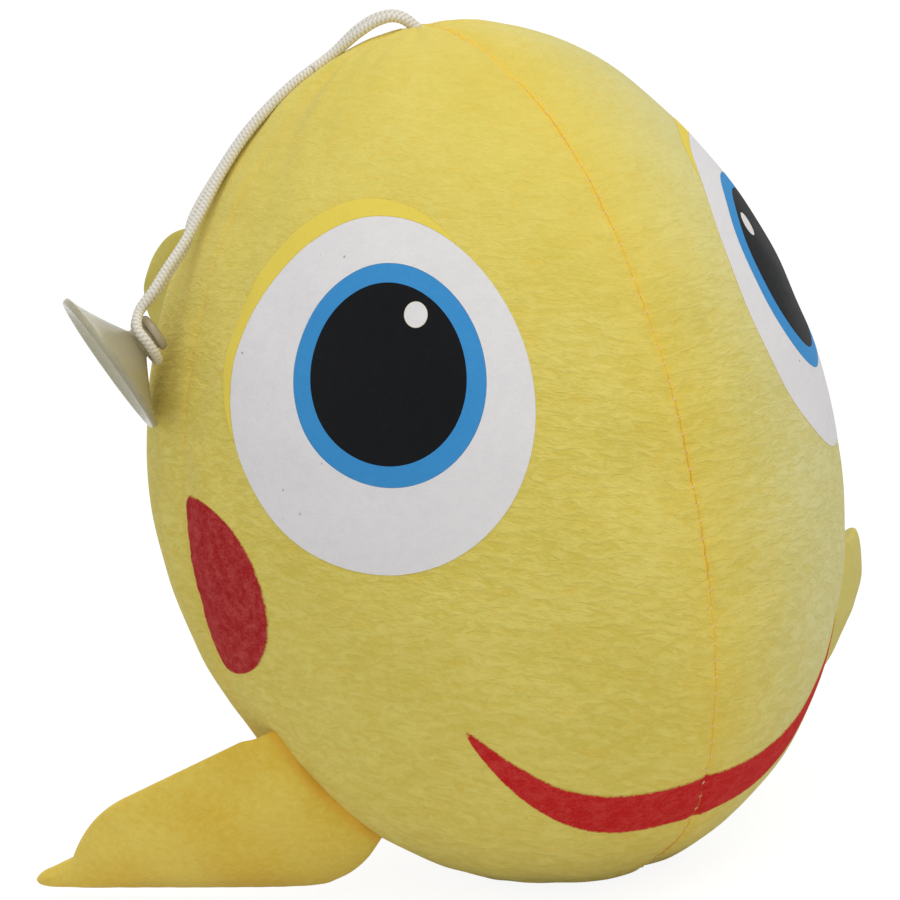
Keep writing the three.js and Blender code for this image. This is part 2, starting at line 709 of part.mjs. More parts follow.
function cordPieces() {
  const loop = loopRoute();
  const hidden = CORD_BEND + LOOP_START - GRIPPED_FROM;
  console.log(`cord length ${(loop.getLength() + 2 * hidden).toFixed(1)} mm`);
  return {
    loop: piece('cord_loop', cordTube(loop, CORD_STEPS), MATERIALS.cord),
    ends: [
      piece('cord_end_back', cordTube(sewnEnd(BACK_END), 1), MATERIALS.cord),
      piece('cord_end_front', cordTube(sewnEnd(FRONT_END), 1), MATERIALS.cord),
    ],
  };
}

/** Half section of the cup, from the middle of its hollow round the rim to the top of its head. */
function cupProfile() {
  const rim = CUP_DIAMETER / 2;
  const mouth = rim - CUP_RIM_WIDTH;
  const neck = CUP_NECK_DIAMETER / 2;
  const head = CUP_HEAD_DIAMETER / 2;
  const shoulder = CUP_DISH + CUP_WALL;
  const headBase = shoulder + CUP_NECK_LENGTH;
  const top = headBase + CUP_HEAD_LENGTH;
  const arcSteps = 5;
  const profile = [new THREE.Vector2(0, CUP_DISH)];
  for (let step = 1; step <= arcSteps; step++) {
    const share = step / arcSteps;
    profile.push(new THREE.Vector2(mouth * share, CUP_DISH * (1 - share ** CUP_DISH_CURVE)));
  }
  profile.push(new THREE.Vector2(rim, 0), new THREE.Vector2(rim, CUP_LIP));
  for (let step = arcSteps - 1; step >= 0; step--) {
    const share = step / arcSteps;
    const rise = (shoulder - CUP_LIP) * (1 - share) ** CUP_FLARE;
    profile.push(new THREE.Vector2(neck + (rim - neck) * share, CUP_LIP + rise));
  }
  const chamfer = CUP_HEAD_LENGTH / 4;
  profile.push(
    new THREE.Vector2(neck, headBase),
    new THREE.Vector2(head - chamfer, headBase),
    new THREE.Vector2(head, headBase + chamfer),
    new THREE.Vector2(head, top - chamfer),
    new THREE.Vector2(head - chamfer, top),
    new THREE.Vector2(0, top),
  );
  return profile;
}

function cupMesh() {
  const geometry = new THREE.LatheGeometry(cupProfile(), CUP_SIDES);
  geometry.rotateX(Math.PI / 2); // the lathe's own axis is Y
  const cup = piece('suction_cup', faceted(geometry), MATERIALS.clear);
  const axis = new THREE.Vector3(...CUP_AXIS).normalize();
  cup.quaternion.setFromUnitVectors(new THREE.Vector3(0, 0, 1), axis);
  cup.position.set(...CUP_RIM_CENTRE);
  return cup;
}

// Assembly

function piece(name, geometry, material) {
  const mesh = new THREE.Mesh(geometry, material);
  mesh.name = name;
  return mesh;
}

function bodyPieces(cordEnds) {
  const layers = {
    skin: eggSolid(0),
    middle: eggSolid(PLUSH / 2),
    lining: eggSolid(PLUSH),
    fold: eggSolid(PLUSH + ALLOWANCE),
  };
  const panels = [];
  for (const [facingName, facing] of [['front', -1], ['back', 1]]) {
    for (const [sideName, side] of [['right', -1], ['left', 1]]) {
      const solid = panelSolid(side, facing, layers);
      panels.push(piece(`${facingName}_panel_${sideName}`, geometryFromSolid(solid), MATERIALS.plush));
    }
  }
  return [
    ...panels,
    piece('stuffing', geometryFromSolid(stuffingSolid(layers)), MATERIALS.filling),
    piece('cord_knot', geometryFromSolid(knotSolid()), MATERIALS.cord),
    ...cordEnds,
  ];
}

function facePieces(name, side) {
  return [
    ...eyePieces(name, side),
    piece(`${name}_cheek`, cheekGeometry(side), MATERIALS.printCheek),
    piece(`${name}_smile`, smileGeometry(side), MATERIALS.printRed),
  ];
}

function group(name, pieces) {
  const holder = new THREE.Group();
  holder.name = name;
  holder.add(...pieces);
  return holder;
}

const cord = cordPieces();

const fish = group('suction_cup_fish', [
  group('plush', [...bodyPieces(cord.ends), ...facePieces('right', 1), ...facePieces('left', -1)]),
  group('right_fin', sideFin('right', 1, RIGHT_FIN_OUT)),
  group('left_fin', sideFin('left', -1, LEFT_FIN_OUT, LEFT_FIN_BEND)),
  group('tail', tailFin()),
  group('loop', [cord.loop]),
  group('cup', [cupMesh()]),
]);

export default fish;
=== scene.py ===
"""Dressing of a stuffed fish toy: plush skin, prints, fins, cord loop and suction cup.

The fish faces -Y, its right side is -X and Z is up. The classes hold their sizes in
millimetres; the meshes are in metres.
"""
import logging
import math
from dataclasses import dataclass, field
from enum import Enum
from typing import Any, Callable, Sequence

import bmesh
import bpy
import numpy as np
from mathutils import Matrix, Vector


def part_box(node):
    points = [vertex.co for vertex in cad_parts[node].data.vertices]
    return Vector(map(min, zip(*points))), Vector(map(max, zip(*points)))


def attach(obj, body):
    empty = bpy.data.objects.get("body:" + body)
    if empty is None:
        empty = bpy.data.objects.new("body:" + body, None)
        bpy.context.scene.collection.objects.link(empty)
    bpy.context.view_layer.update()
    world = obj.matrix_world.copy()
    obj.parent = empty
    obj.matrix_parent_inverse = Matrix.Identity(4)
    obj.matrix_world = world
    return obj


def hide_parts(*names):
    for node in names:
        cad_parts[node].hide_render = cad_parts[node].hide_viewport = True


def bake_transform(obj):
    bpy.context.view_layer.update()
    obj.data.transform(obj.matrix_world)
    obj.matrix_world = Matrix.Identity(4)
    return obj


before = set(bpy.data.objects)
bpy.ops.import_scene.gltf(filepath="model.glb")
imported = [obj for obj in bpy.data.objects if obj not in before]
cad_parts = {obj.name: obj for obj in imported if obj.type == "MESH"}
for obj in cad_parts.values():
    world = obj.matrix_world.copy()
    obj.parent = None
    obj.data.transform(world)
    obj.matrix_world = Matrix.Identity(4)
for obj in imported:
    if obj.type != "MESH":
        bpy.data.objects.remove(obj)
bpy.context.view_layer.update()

MM = 0.001
LOG = logging.getLogger("fish")
POLAR_MM, TURN_MM = 90.0, 80.0
"""Millimetres of skin for a radian of polar and of turn, at the middle of the fish."""

Array = np.ndarray
Piece = bpy.types.Object
Material = bpy.types.Material
Colour = Point = tuple[float, float, float]
Pair = tuple[float, float]


class Side(Enum):
    """A side of the fish; the value is the sign of its turn from the nose."""

    RIGHT = 1
    LEFT = -1

    @property
    def word(self) -> str:
        """The word that piece names use."""
        return self.name.lower()


class Quarter(Enum):
    """A panel of the skin; the value is the turn of its first seam in quarter turns."""

    FRONT_RIGHT = 0
    BACK_RIGHT = 1
    BACK_LEFT = 2
    FRONT_LEFT = 3

    @property
    def node(self) -> str:
        """The CAD node that the panel stands for."""
        place, side = self.name.lower().split("_")
        return f"{place}_panel_{side}"

    @property
    def piece(self) -> str:
        """Name of the dressed panel."""
        return f"skin_{self.name.lower()}"


def linear(red: int, green: int, blue: int) -> Colour:
    """Linear colour of an sRGB colour with channels from 0 to 255.

    Args:
        red: Red channel.
        green: Green channel.
        blue: Blue channel.

    Returns:
        Three channels from 0 to 1.
    """
    channels = np.array([red, green, blue]) / 255
    low, high = channels / 12.92, ((channels + 0.055) / 1.055) ** 2.4
    return tuple(float(c) for c in np.where(channels <= 0.04045, low, high))


def unit(vectors: Array) -> Array:
    """Vectors along the last axis, made one long."""
    return vectors / np.maximum(np.linalg.norm(vectors, axis=-1, keepdims=True), 1e-12)


def cloudy(first: Array, second: Array, size: float, seed: int, count: int = 10) -> Array:
    """Smooth unevenness from about -1 to 1 over two lengths.

    It is the sum of plane sine waves in seeded directions, with wave lengths from 0.7 to
    1.6 times the given size, divided by the square root of their number.

    Args:
        first: Position along the surface in one direction.
        second: Position in the other direction.
        size: Typical wave length.
        seed: Seed of the directions and phases.
        count: Number of waves.

    Returns:
        The unevenness at each position.
    """
    rng = np.random.default_rng(seed)
    angle, phase = rng.uniform(0, 2 * np.pi, (2, count))
    wave = 2 * np.pi / (size * rng.uniform(0.7, 1.6, count))
    along = first[..., None] * np.cos(angle) + second[..., None] * np.sin(angle)
    return np.sin(along * wave + phase).sum(-1) / np.sqrt(count)


def smooth_step(value: Array, low: float, high: float) -> Array:
    """Rise from 0 at low to 1 at high with level ends."""
    share = np.clip((value - low) / (high - low), 0, 1)
    return share * share * (3 - 2 * share)


def full_turn(count: int) -> Array:
    """Even angles round a full turn, from 0 on."""
    return np.linspace(0, 2 * np.pi, count, endpoint=False)


def halved(inside: Callable[[Array], Array], shape: tuple[int, ...], most: float) -> Array:
    """Largest values from 0 to most that are still inside, found by forty halvings.

    Args:
        inside: Tells for each value whether it is inside.
        shape: Shape of the values.
        most: Upper end of the search.

    Returns:
        The values.
    """
    low, high = np.zeros(shape), np.full(shape, most)
    for _ in range(40):
        middle = (low + high) / 2
        within = inside(middle)
        low, high = np.where(within, middle, low), np.where(within, high, middle)
    return low


def step_lengths(line: Array) -> Array:
    """Distance from each point of a line to the next."""
    return np.linalg.norm(np.diff(line, axis=0), axis=1)


def totals(steps: Array) -> Array:
    """Running total of the steps, from 0 on."""
    return np.concatenate([[0.0], np.cumsum(steps)])


def rings(line: Array, first: Array, second: Array, radius: Array, angle: Array) -> Array:
    """Rings of points round a line.

    Args:
        line: Points, three numbers along the last axis.
        first: Direction of angle 0, for each point or for all.
        second: Direction of a quarter turn.
        radius: Radius, with an axis for the angle after those of the points.
        angle: Angles of the ring's points.

    Returns:
        Points, with an axis for the angle before the last one.
    """
    spread = first[..., None, :] * np.cos(angle)[:, None] + second[..., None, :] * np.sin(angle)[:, None]
    return line[..., None, :] + spread * radius[..., None]


def between(first: Array, second: Array, start: Array, end: Array, at: Array) -> Array:
    """Point on the line through two points, by where a place lies from start to end."""
    return first * (end - at) / (end - start) + second * (at - start) / (end - start)


def bordered(count: int) -> Array:
    """Even steps from 0 to 1 with a narrow border at each end, which keeps a film's edge crisp."""
    return np.concatenate([[0.0, 0.002], np.linspace(0, 1, count)[1:-1], [0.998, 1.0]])


def smooth_object(name: str, places: Array, faces: list[list[int]]) -> Piece:
    """Puts points, in metres, and their faces into a smooth mesh object at the origin.

    Args:
        name: Name of the object.
        places: Points, in metres.
        faces: Point numbers of each face.

    Returns:
        The object, linked to the scene.
    """
    mesh = bpy.data.meshes.new(name)
    mesh.from_pydata(places.tolist(), [], faces)
    mesh.polygons.foreach_set("use_smooth", np.ones(len(mesh.polygons), dtype=bool))
    obj = bpy.data.objects.new(name, mesh)
    bpy.context.scene.collection.objects.link(obj)
    return obj


def cells(index: Array) -> Array:
    """Four corners of each cell of a grid of point numbers, whose rows and columns come last."""
    corners = [index[..., :-1, :-1], index[..., :-1, 1:], index[..., 1:, 1:], index[..., 1:, :-1]]
    return np.stack(corners, axis=-1).reshape(-1, 4)


def grid_object(
    name: str,
    points: Array,
    *,
    closed: bool = False,
    caps: bool = False,
    flip: bool = False,
    values: dict[str, Array] | None = None,
    merge: bool = False,
) -> Piece:
    """Puts a grid of points into a smooth mesh object at the origin.

    Each cell of the grid becomes one quad. A closed grid joins its last column to its
    first, and caps close its first and last row with a fan round the row's middle.

    Args:
        name: Name of the object.
        points: Rows by columns by three, in millimetres.
        closed: Whether the columns go round.
        caps: Whether the first and last row are closed.
        flip: Whether the faces are turned over.
        values: Float attributes by name, rows by columns.
        merge: Whether points in the same place become one.

    Returns:
        The object, linked to the scene.
    """
    rows, columns = points.shape[:2]
    index = np.arange(rows * columns).reshape(rows, columns)
    wide = np.concatenate([index, index[:, :1]], axis=1) if closed else index
    quads = cells(wide)
    places = points.reshape(-1, 3) * MM
    faces = (quads[:, ::-1] if flip else quads).tolist()
    extra = {key: value.reshape(-1) for key, value in (values or {}).items()}
    if caps:
        places = np.concatenate([places, points[[0, -1]].mean(axis=1) * MM])
        first, last = np.full(columns, rows * columns), np.full(columns, rows * columns + 1)
        top = np.stack([first, wide[0, 1:], wide[0, :-1]], axis=-1)
        bottom = np.stack([last, wide[-1, :-1], wide[-1, 1:]], axis=-1)
        fans = np.concatenate([top, bottom])
        faces += (fans[:, ::-1] if flip else fans).tolist()
        extra = {
            key: np.concatenate([value, (values or {})[key][[0, -1]].mean(axis=1)])
            for key, value in extra.items()
        }
    obj = smooth_object(name, places, faces)
    for key, value in extra.items():
        attribute = obj.data.attributes.new(key, "FLOAT", "POINT")
        attribute.data.foreach_set("value", value.astype(np.float32))
    if merge:
        work = bmesh.new()
        work.from_mesh(obj.data)
        bmesh.ops.remove_doubles(work, verts=work.verts, dist=0.02 * MM)
        work.to_mesh(obj.data)
        work.free()
    obj.data.update()
    return obj


def stand(obj: Piece, right: Array, up: Array, back: Array, place: Array) -> None:
    """Turns an object's own axes to the given ones, in its place, and links it to the scene.

    Args:
        obj: The object.
        right: Direction of its X axis.
        up: Direction of its Y axis.
        back: Direction of its Z axis.
        place: Its place, in metres.
    """
    matrix = np.eye(4)
    matrix[:3, :3] = np.stack([right, up, back], axis=1)
    matrix[:3, 3] = place
    obj.matrix_world = Matrix(matrix.tolist())
    bpy.context.scene.collection.objects.link(obj)


def thicken(obj: Piece, thickness: float) -> Piece:
    """Gives a sheet its thickness in millimetres, on the inner side.

    Args:
        obj: The sheet.
        thickness: Thickness in millimetres.

    Returns:
        The sheet.
    """
    wall = obj.modifiers.new("thickness", "SOLIDIFY")
    wall.thickness = thickness * MM
    wall.offset = -1
    wall.use_even_offset = False
    return obj


class Socket:
    """One output of a node graph. Arithmetic on it adds Math nodes."""

    def __init__(self, graph: "Graph", socket: bpy.types.NodeSocket) -> None:
        """Keeps the graph and the socket."""
        self.graph = graph
        self.socket = socket

    def __add__(self, other: "Socket | float") -> "Socket":
        """Sum of two values."""
        return self.graph.math("ADD", self, other)

    def __sub__(self, other: "Socket | float") -> "Socket":
        """Difference of two values."""
        return self.graph.math("SUBTRACT", self, other)

    def __rsub__(self, other: float) -> "Socket":
        """A number less this value."""
        return self.graph.math("SUBTRACT", other, self)

    def __mul__(self, other: "Socket | float") -> "Socket":
        """Product of two values."""
        return self.graph.math("MULTIPLY", self, other)

    __radd__ = __add__
    __rmul__ = __mul__


class Graph:
    """The node graph of one material or of the surroundings."""

    def __init__(self, owner: Material | bpy.types.World, shader: str = "Principled BSDF") -> None:
        """Opens the graph.

        Args:
            owner: The material or the world.
            shader: Name of the shader node at its end.
        """
        owner.use_nodes = True
        self.owner = owner
        self.tree = owner.node_tree
        self.shader = self.tree.nodes[shader]

    @classmethod
    def material(cls, name: str) -> "Graph":
        """The graph of a new material."""
        return cls(bpy.data.materials.new(name))

    def fill(self, node: bpy.types.Node, inputs: dict[str | int, Any]) -> None:
        """Sets or links the inputs of a node.

        Args:
            node: The node.
            inputs: Values or sockets by the input's name or number.
        """
        for key, value in inputs.items():
            target = node.inputs[key]
            if isinstance(value, Socket):
                self.tree.links.new(value.socket, target)
            elif isinstance(value, tuple) and target.type == "RGBA":
                target.default_value = (*value, 1.0)[:4]
            else:
                target.default_value = value

    def node(
        self,
        kind: str,
        settings: dict[str, Any] | None = None,
        inputs: dict[str | int, Any] | None = None,
        output: str | int = 0,
    ) -> Socket:
        """Adds a node.

        Args:
            kind: Type of the node, without the common prefix.
            settings: Properties, set before the inputs.
            inputs: Values or sockets by the input's name or number.
            output: Name or number of the output.

        Returns:
            The chosen output.
        """
        node = self.tree.nodes.new(f"ShaderNode{kind}")
        for key, value in (settings or {}).items():
            setattr(node, key, value)
        self.fill(node, inputs or {})
        return Socket(self, node.outputs[output])

    def math(self, operation: str, *values: Socket | float) -> Socket:
        """A Math node on two values."""
        return self.node("Math", {"operation": operation}, dict(enumerate(values)))

    def mix(self, factor: Socket | float, first: Socket | Colour, second: Socket | Colour) -> Socket:
        """A colour between two colours."""
        inputs = {0: factor, 6: first, 7: second}
        return self.node("Mix", {"data_type": "RGBA"}, inputs, output=2)

    def clamp(self, value: Socket, low: float, high: float) -> Socket:
        """A value's rise from 0 at low to 1 at high."""
        return self.node("MapRange", {"interpolation_type": "SMOOTHSTEP"}, {0: value, 1: low, 2: high})

    def place(self, scale: Point, turn: Point = (0.0, 0.0, 0.0)) -> Socket:
        """Object coordinates in metres, turned and then scaled.

        Args:
            scale: Scale along each axis.
            turn: Turn about each axis.

        Returns:
            The coordinates.
        """
        plain = self.node("TexCoord", output="Object")
        turned = self.node("Mapping", inputs={"Vector": plain, "Rotation": turn})
        return self.node("Mapping", inputs={"Vector": turned, "Scale": scale})

    def axis(self, name: str) -> Socket:
        """One of the object coordinates, in metres."""
        return self.node("SeparateXYZ", inputs={0: self.node("TexCoord", output="Object")}, output=name)

    def noise(
        self,
        scale: Point,
        detail: float = 2.0,
        rough: float = 0.5,
        bend: float = 0.0,
        turn: Point = (0.0, 0.0, 0.0),
    ) -> Socket:
        """Noise in object coordinates.

        Args:
            scale: Features a metre along each axis.
            detail: Number of finer layers.
            rough: Strength of each finer layer in the one before.
            bend: Distortion.
            turn: Turn of the coordinates before they are scaled.

        Returns:
            The noise, about a mean of 0.5.
        """
        inputs = {"Detail": detail, "Roughness": rough, "Distortion": bend}
        inputs = {"Vector": self.place(scale, turn), "Scale": 1.0, **inputs}
        return self.node("TexNoise", inputs=inputs)

    def attribute(self, name: str) -> Socket:
        """A float attribute of the piece."""
        return self.node("Attribute", {"attribute_name": name}, output="Fac")

    def finish(self, relief: Socket, depth: float, strength: float, **inputs: Any) -> Material:
        """Feeds the shader.

        Args:
            relief: Height of the surface detail, from 0 to 1.
            depth: Depth of the detail in millimetres.
            strength: Strength of the bump.
            inputs: Shader inputs, with underscores for spaces.

        Returns:
            The material.
        """
        bump = {"Height": relief, "Distance": depth * MM, "Strength": strength}
        named = {key.replace("_", " "): value for key, value in inputs.items()}
        self.fill(self.shader, {**named, "Normal": self.node("Bump", inputs=bump)})
        return self.owner


@dataclass(frozen=True)
class PlushFinish:
    """Short-pile plush with wavy nap, paler where the pile stands up, and paler and greener on the far
    flank as painted light.
    """

    name: str
    pale: Colour
    deep: Colour
    gold: Colour
    seam: Colour
    # Colours of the far flank, paler and greener: painted light.
    far_pale: Colour
    far_deep: Colour
    nap_turn: Point
    ripple_length: float = 4.2
    ripple_height: float = 1.45
    # Span over X, in millimetres, of the painted light towards the far flank.
    far_from: float = 0.0
    far_beyond: float = 38.0
    calm_from: float = 105.0
    calm_above: float = 165.0

    def material(self) -> Material:
        """Builds the material: ripples across the pile, worn patches, golden seams and painted light on
        the far flank.

        Returns:
            The material.
        """
        graph = Graph.material(self.name)
        wide, high = 1 / (self.ripple_length * MM), 1 / (self.ripple_height * MM)
        ripple = graph.noise((wide, wide, high), 3.0, 0.6, 0.8, self.nap_turn)
        nap = graph.noise((900.0, 900.0, 2400.0), 2.0, 0.6, 0.3, self.nap_turn)
        patch = graph.noise((34.0, 34.0, 48.0), 2.0)
        tinge = graph.noise((260.0, 260.0, 420.0), 3.0, 0.6, 0.5, self.nap_turn)
        calm = graph.clamp(graph.axis("Z"), self.calm_from * MM, self.calm_above * MM)
        # Painted light: from the centre seam towards the far flank the colours turn paler and greener.
        far = graph.clamp(graph.axis("X"), self.far_from * MM, self.far_beyond * MM)
        deep, pale = graph.mix(far, self.deep, self.far_deep), graph.mix(far, self.pale, self.far_pale)
        lie = (graph.clamp(ripple, 0.18, 0.82) - 0.5) * (1.0 - calm * 0.6) + 0.5
        shade = graph.mix(graph.clamp(lie * 0.5 + nap * 0.4 + patch * 0.4, 0.3, 1.0), deep, pale)
        # Random golden patches, fewer towards the far flank as part of its painted light.
        shade = graph.mix(graph.clamp(tinge, 0.5, 0.8) * (0.55 - far * 0.25), shade, self.gold)
        shade = graph.mix(graph.attribute("seam") * (0.45 + nap * 0.7), shade, self.seam)
        return graph.finish(
            lie * 0.7 + nap * 0.3, 0.75, 0.5,
            Base_Color=shade, Roughness=0.88 + nap * 0.1, Specular_IOR_Level=0.1,
            Sheen_Weight=0.12, Sheen_Roughness=0.5,
        )


@dataclass(frozen=True)
class SuedeFinish:
    """Smooth golden knit of the fins, with a fine brushed face."""

    name: str
    pale: Colour
    deep: Colour
    seam: Colour

    def material(self) -> Material:
        """Builds the material: a brushed mottle, with orange along its sewn root.

        Returns:
            The material.
        """
        graph = Graph.material(self.name)
        brushed = graph.noise((520.0, 520.0, 700.0), 4.0, 0.7, 0.6)
        fibre = graph.noise((3200.0, 3200.0, 3200.0), 1.0)
        patch = graph.noise((40.0, 40.0, 40.0), 1.0)
        shade = graph.mix(graph.clamp(brushed * 0.5 + patch * 0.5, 0.3, 0.7), self.deep, self.pale)
        shade = graph.mix(graph.attribute("seam") * 0.85, shade, self.seam)
        return graph.finish(
            brushed * 0.6 + fibre * 0.5, 0.26, 0.45,
            Base_Color=shade, Roughness=0.82 + brushed * 0.14,
            Sheen_Weight=0.15, Sheen_Roughness=0.5, Specular_IOR_Level=0.2,
        )


@dataclass(frozen=True)
class PrintFinish:
    """Transfer print on the plush: flat ink on a faint cloth, with pile through its edge."""

    name: str
    ink: Colour
    worn: Colour
    pile: Colour
    mottle: float = 0.4
    specks: float = 0.0
    fray: float = 0.5
    gloss: float = 0.72
    shine: float = 0.25
    relief: float = 0.2
    speck: Colour = (0.08, 0.07, 0.06)

    def material(self) -> Material:
        """Builds the material: mottled ink, a few dark specks and a frayed rim.

        Returns:
            The material.
        """
        graph = Graph.material(self.name)
        cloud = graph.noise((330.0, 330.0, 480.0), 4.0, 0.65, 0.4)
        fibre = graph.noise((1500.0, 1500.0, 2100.0), 2.0, 0.6)
        grid = graph.place((150.0, 150.0, 150.0))
        spot = graph.node("TexVoronoi", inputs={"Vector": grid, "Scale": 1.0})
        faded = graph.clamp(cloud * 0.6 + fibre * 0.4, 0.38, 0.68) * self.mottle
        shade = graph.mix(faded, self.ink, self.worn)
        dirt = (1.0 - graph.clamp(spot, 0.025, 0.06)) * self.specks
        shade = graph.mix(dirt, shade, self.speck)
        rim = graph.attribute("rim")
        through = 1.0 - graph.clamp(rim + (fibre - 0.5) * 1.8 * self.fray, 0.0, 0.7 * self.fray + 0.02)
        shade = graph.mix(through, shade, self.pile)
        return graph.finish(
            fibre * 0.6 + cloud * 0.4, self.relief, 0.4,
            Base_Color=shade, Roughness=self.gloss + cloud * 0.15, Specular_IOR_Level=self.shine,
        )


@dataclass(frozen=True)
class CordFinish:
    """White braided cotton, with painted shade in the hollows between its plaits."""

    name: str
    pale: Colour
    shadow: Colour

    def material(self) -> Material:
        """Builds the material: painted shade darkens the hollows between plaits, with fine threads.

        Returns:
            The material.
        """
        graph = Graph.material(self.name)
        plait = graph.attribute("plait")
        thread = graph.noise((2400.0, 2400.0, 2400.0), 2.0, 0.6)
        # Painted shade: the shadow colour fills the hollows between the plaits.
        shade = graph.mix(graph.clamp(plait * 0.85 + thread * 0.25, 0.1, 0.85), self.shadow, self.pale)
        return graph.finish(
            thread, 0.1, 0.3,
            Base_Color=shade, Roughness=0.78 + thread * 0.15, Specular_IOR_Level=0.25,
        )


@dataclass(frozen=True)
class VinylFinish:
    """Hazy soft vinyl of the cup, a little dusty."""

    name: str
    clear: Colour
    dust: Colour
    stem: Colour

    def material(self) -> Material:
        """Builds the material: clouded tint, smears in the gloss, some of the light let through.

        Returns:
            The material.
        """
        graph = Graph.material(self.name)
        cloud = graph.noise((90.0, 90.0, 90.0), 2.0, 0.5, 0.5)
        smear = graph.noise((260.0, 260.0, 260.0), 2.0)
        shade = graph.mix(graph.clamp(cloud, 0.35, 0.75) * 0.6, self.clear, self.dust)
        shade = graph.mix(graph.attribute("rise") * 0.7, shade, self.stem)
        return graph.finish(
            smear, 0.1, 0.06,
            Base_Color=shade, Roughness=0.16 + cloud * 0.14, Transmission_Weight=0.4, IOR=1.4,
        )


@dataclass(frozen=True)
class FibreFinish:
    """White polyester fibre of the fillings."""

    name: str
    pale: Colour
    shadow: Colour
    tangle: float = 0.8

    def material(self) -> Material:
        """Builds the material: tangled strands as stretched noise.

        Returns:
            The material.
        """
        graph = Graph.material(self.name)
        strand = graph.noise((300.0, 900.0, 500.0), 4.0, 0.65, 2.0)
        shade = graph.mix(graph.clamp(strand, 0.35, 0.65), self.shadow, self.pale)
        return graph.finish(strand, self.tangle, 0.6, Base_Color=shade, Roughness=0.85 + strand * 0.1)


@dataclass(frozen=True)
class Wardrobe:
    """Every finish of the toy, made once."""

    plush_right: Material
    plush_left: Material
    suede: Material
    # A darker, greener copy of the golden suede: painted shade for the far fin and the tail.
    suede_lemon: Material
    white: Material
    blue: Material
    black: Material
    yellow: Material
    cheek: Material
    smile: Material
    cord: Material
    cup: Material
    fibre: Material
    thread: Material
    fleck: Material

    @classmethod
    def stock(cls) -> "Wardrobe":
        """Makes the finishes in their colours.

        Returns:
            The wardrobe.
        """
        pile = linear(214, 190, 92)
        dyes = dict(
            pale=linear(243, 225, 120), deep=linear(226, 205, 88),
            gold=linear(240, 205, 84), seam=linear(250, 212, 80),
            # The far flank's colours, paler and greener, are painted light.
            far_pale=linear(238, 229, 160), far_deep=linear(222, 211, 126),
        )
        reds = dict(pile=pile, fray=0.8, gloss=0.85, shine=0.1, relief=0.6)
        black = linear(13, 14, 17)
        finishes = dict(
            plush_right=PlushFinish("plush_right", nap_turn=(0.121, -0.343, 0.0), **dyes),
            plush_left=PlushFinish("plush_left", nap_turn=(0.297, -0.02, 0.0), **dyes),
            suede=SuedeFinish(
                "suede_golden", linear(250, 223, 104), linear(240, 200, 66), linear(246, 182, 62)
            ),
            # Darker, greener copy of the golden suede: painted shade.
            suede_lemon=SuedeFinish(
                "suede_lemon", linear(222, 206, 102), linear(208, 190, 80), linear(222, 176, 70)
            ),
            white=PrintFinish(
                "print_white", linear(243, 239, 237), linear(231, 227, 227), pile,
                mottle=0.5, specks=0.55, fray=0.12,
            ),
            blue=PrintFinish(
                "print_blue", linear(60, 149, 213), linear(74, 158, 218), linear(40, 60, 80), fray=0.08
            ),
            black=PrintFinish(
                "print_black", black, linear(24, 25, 27), black,
                mottle=0.5, fray=0.05, gloss=0.6, shine=0.12,
            ),
            yellow=PrintFinish(
                "print_yellow", linear(246, 222, 92), linear(240, 214, 84), pile, fray=0.2
            ),
            cheek=PrintFinish(
                "print_cheek", linear(176, 32, 35), linear(204, 82, 78), mottle=0.9, **reds
            ),
            smile=PrintFinish(
                "print_smile", linear(204, 34, 35), linear(222, 76, 70), mottle=0.7, **reds
            ),
            cord=CordFinish("cord_cotton", linear(248, 243, 232), linear(206, 199, 184)),
            cup=VinylFinish(
                "cup_vinyl", linear(206, 201, 172), linear(190, 184, 152), linear(184, 168, 140)
            ),
            fibre=FibreFinish("filling_fibre", linear(244, 244, 240), linear(206, 206, 202)),
            thread=FibreFinish("seam_thread", linear(240, 214, 104), linear(232, 202, 88), tangle=0.05),
            fleck=FibreFinish("seam_fleck", linear(244, 226, 196), linear(236, 208, 150), tangle=0.05),
        )
        return cls(**{name: finish.material() for name, finish in finishes.items()})


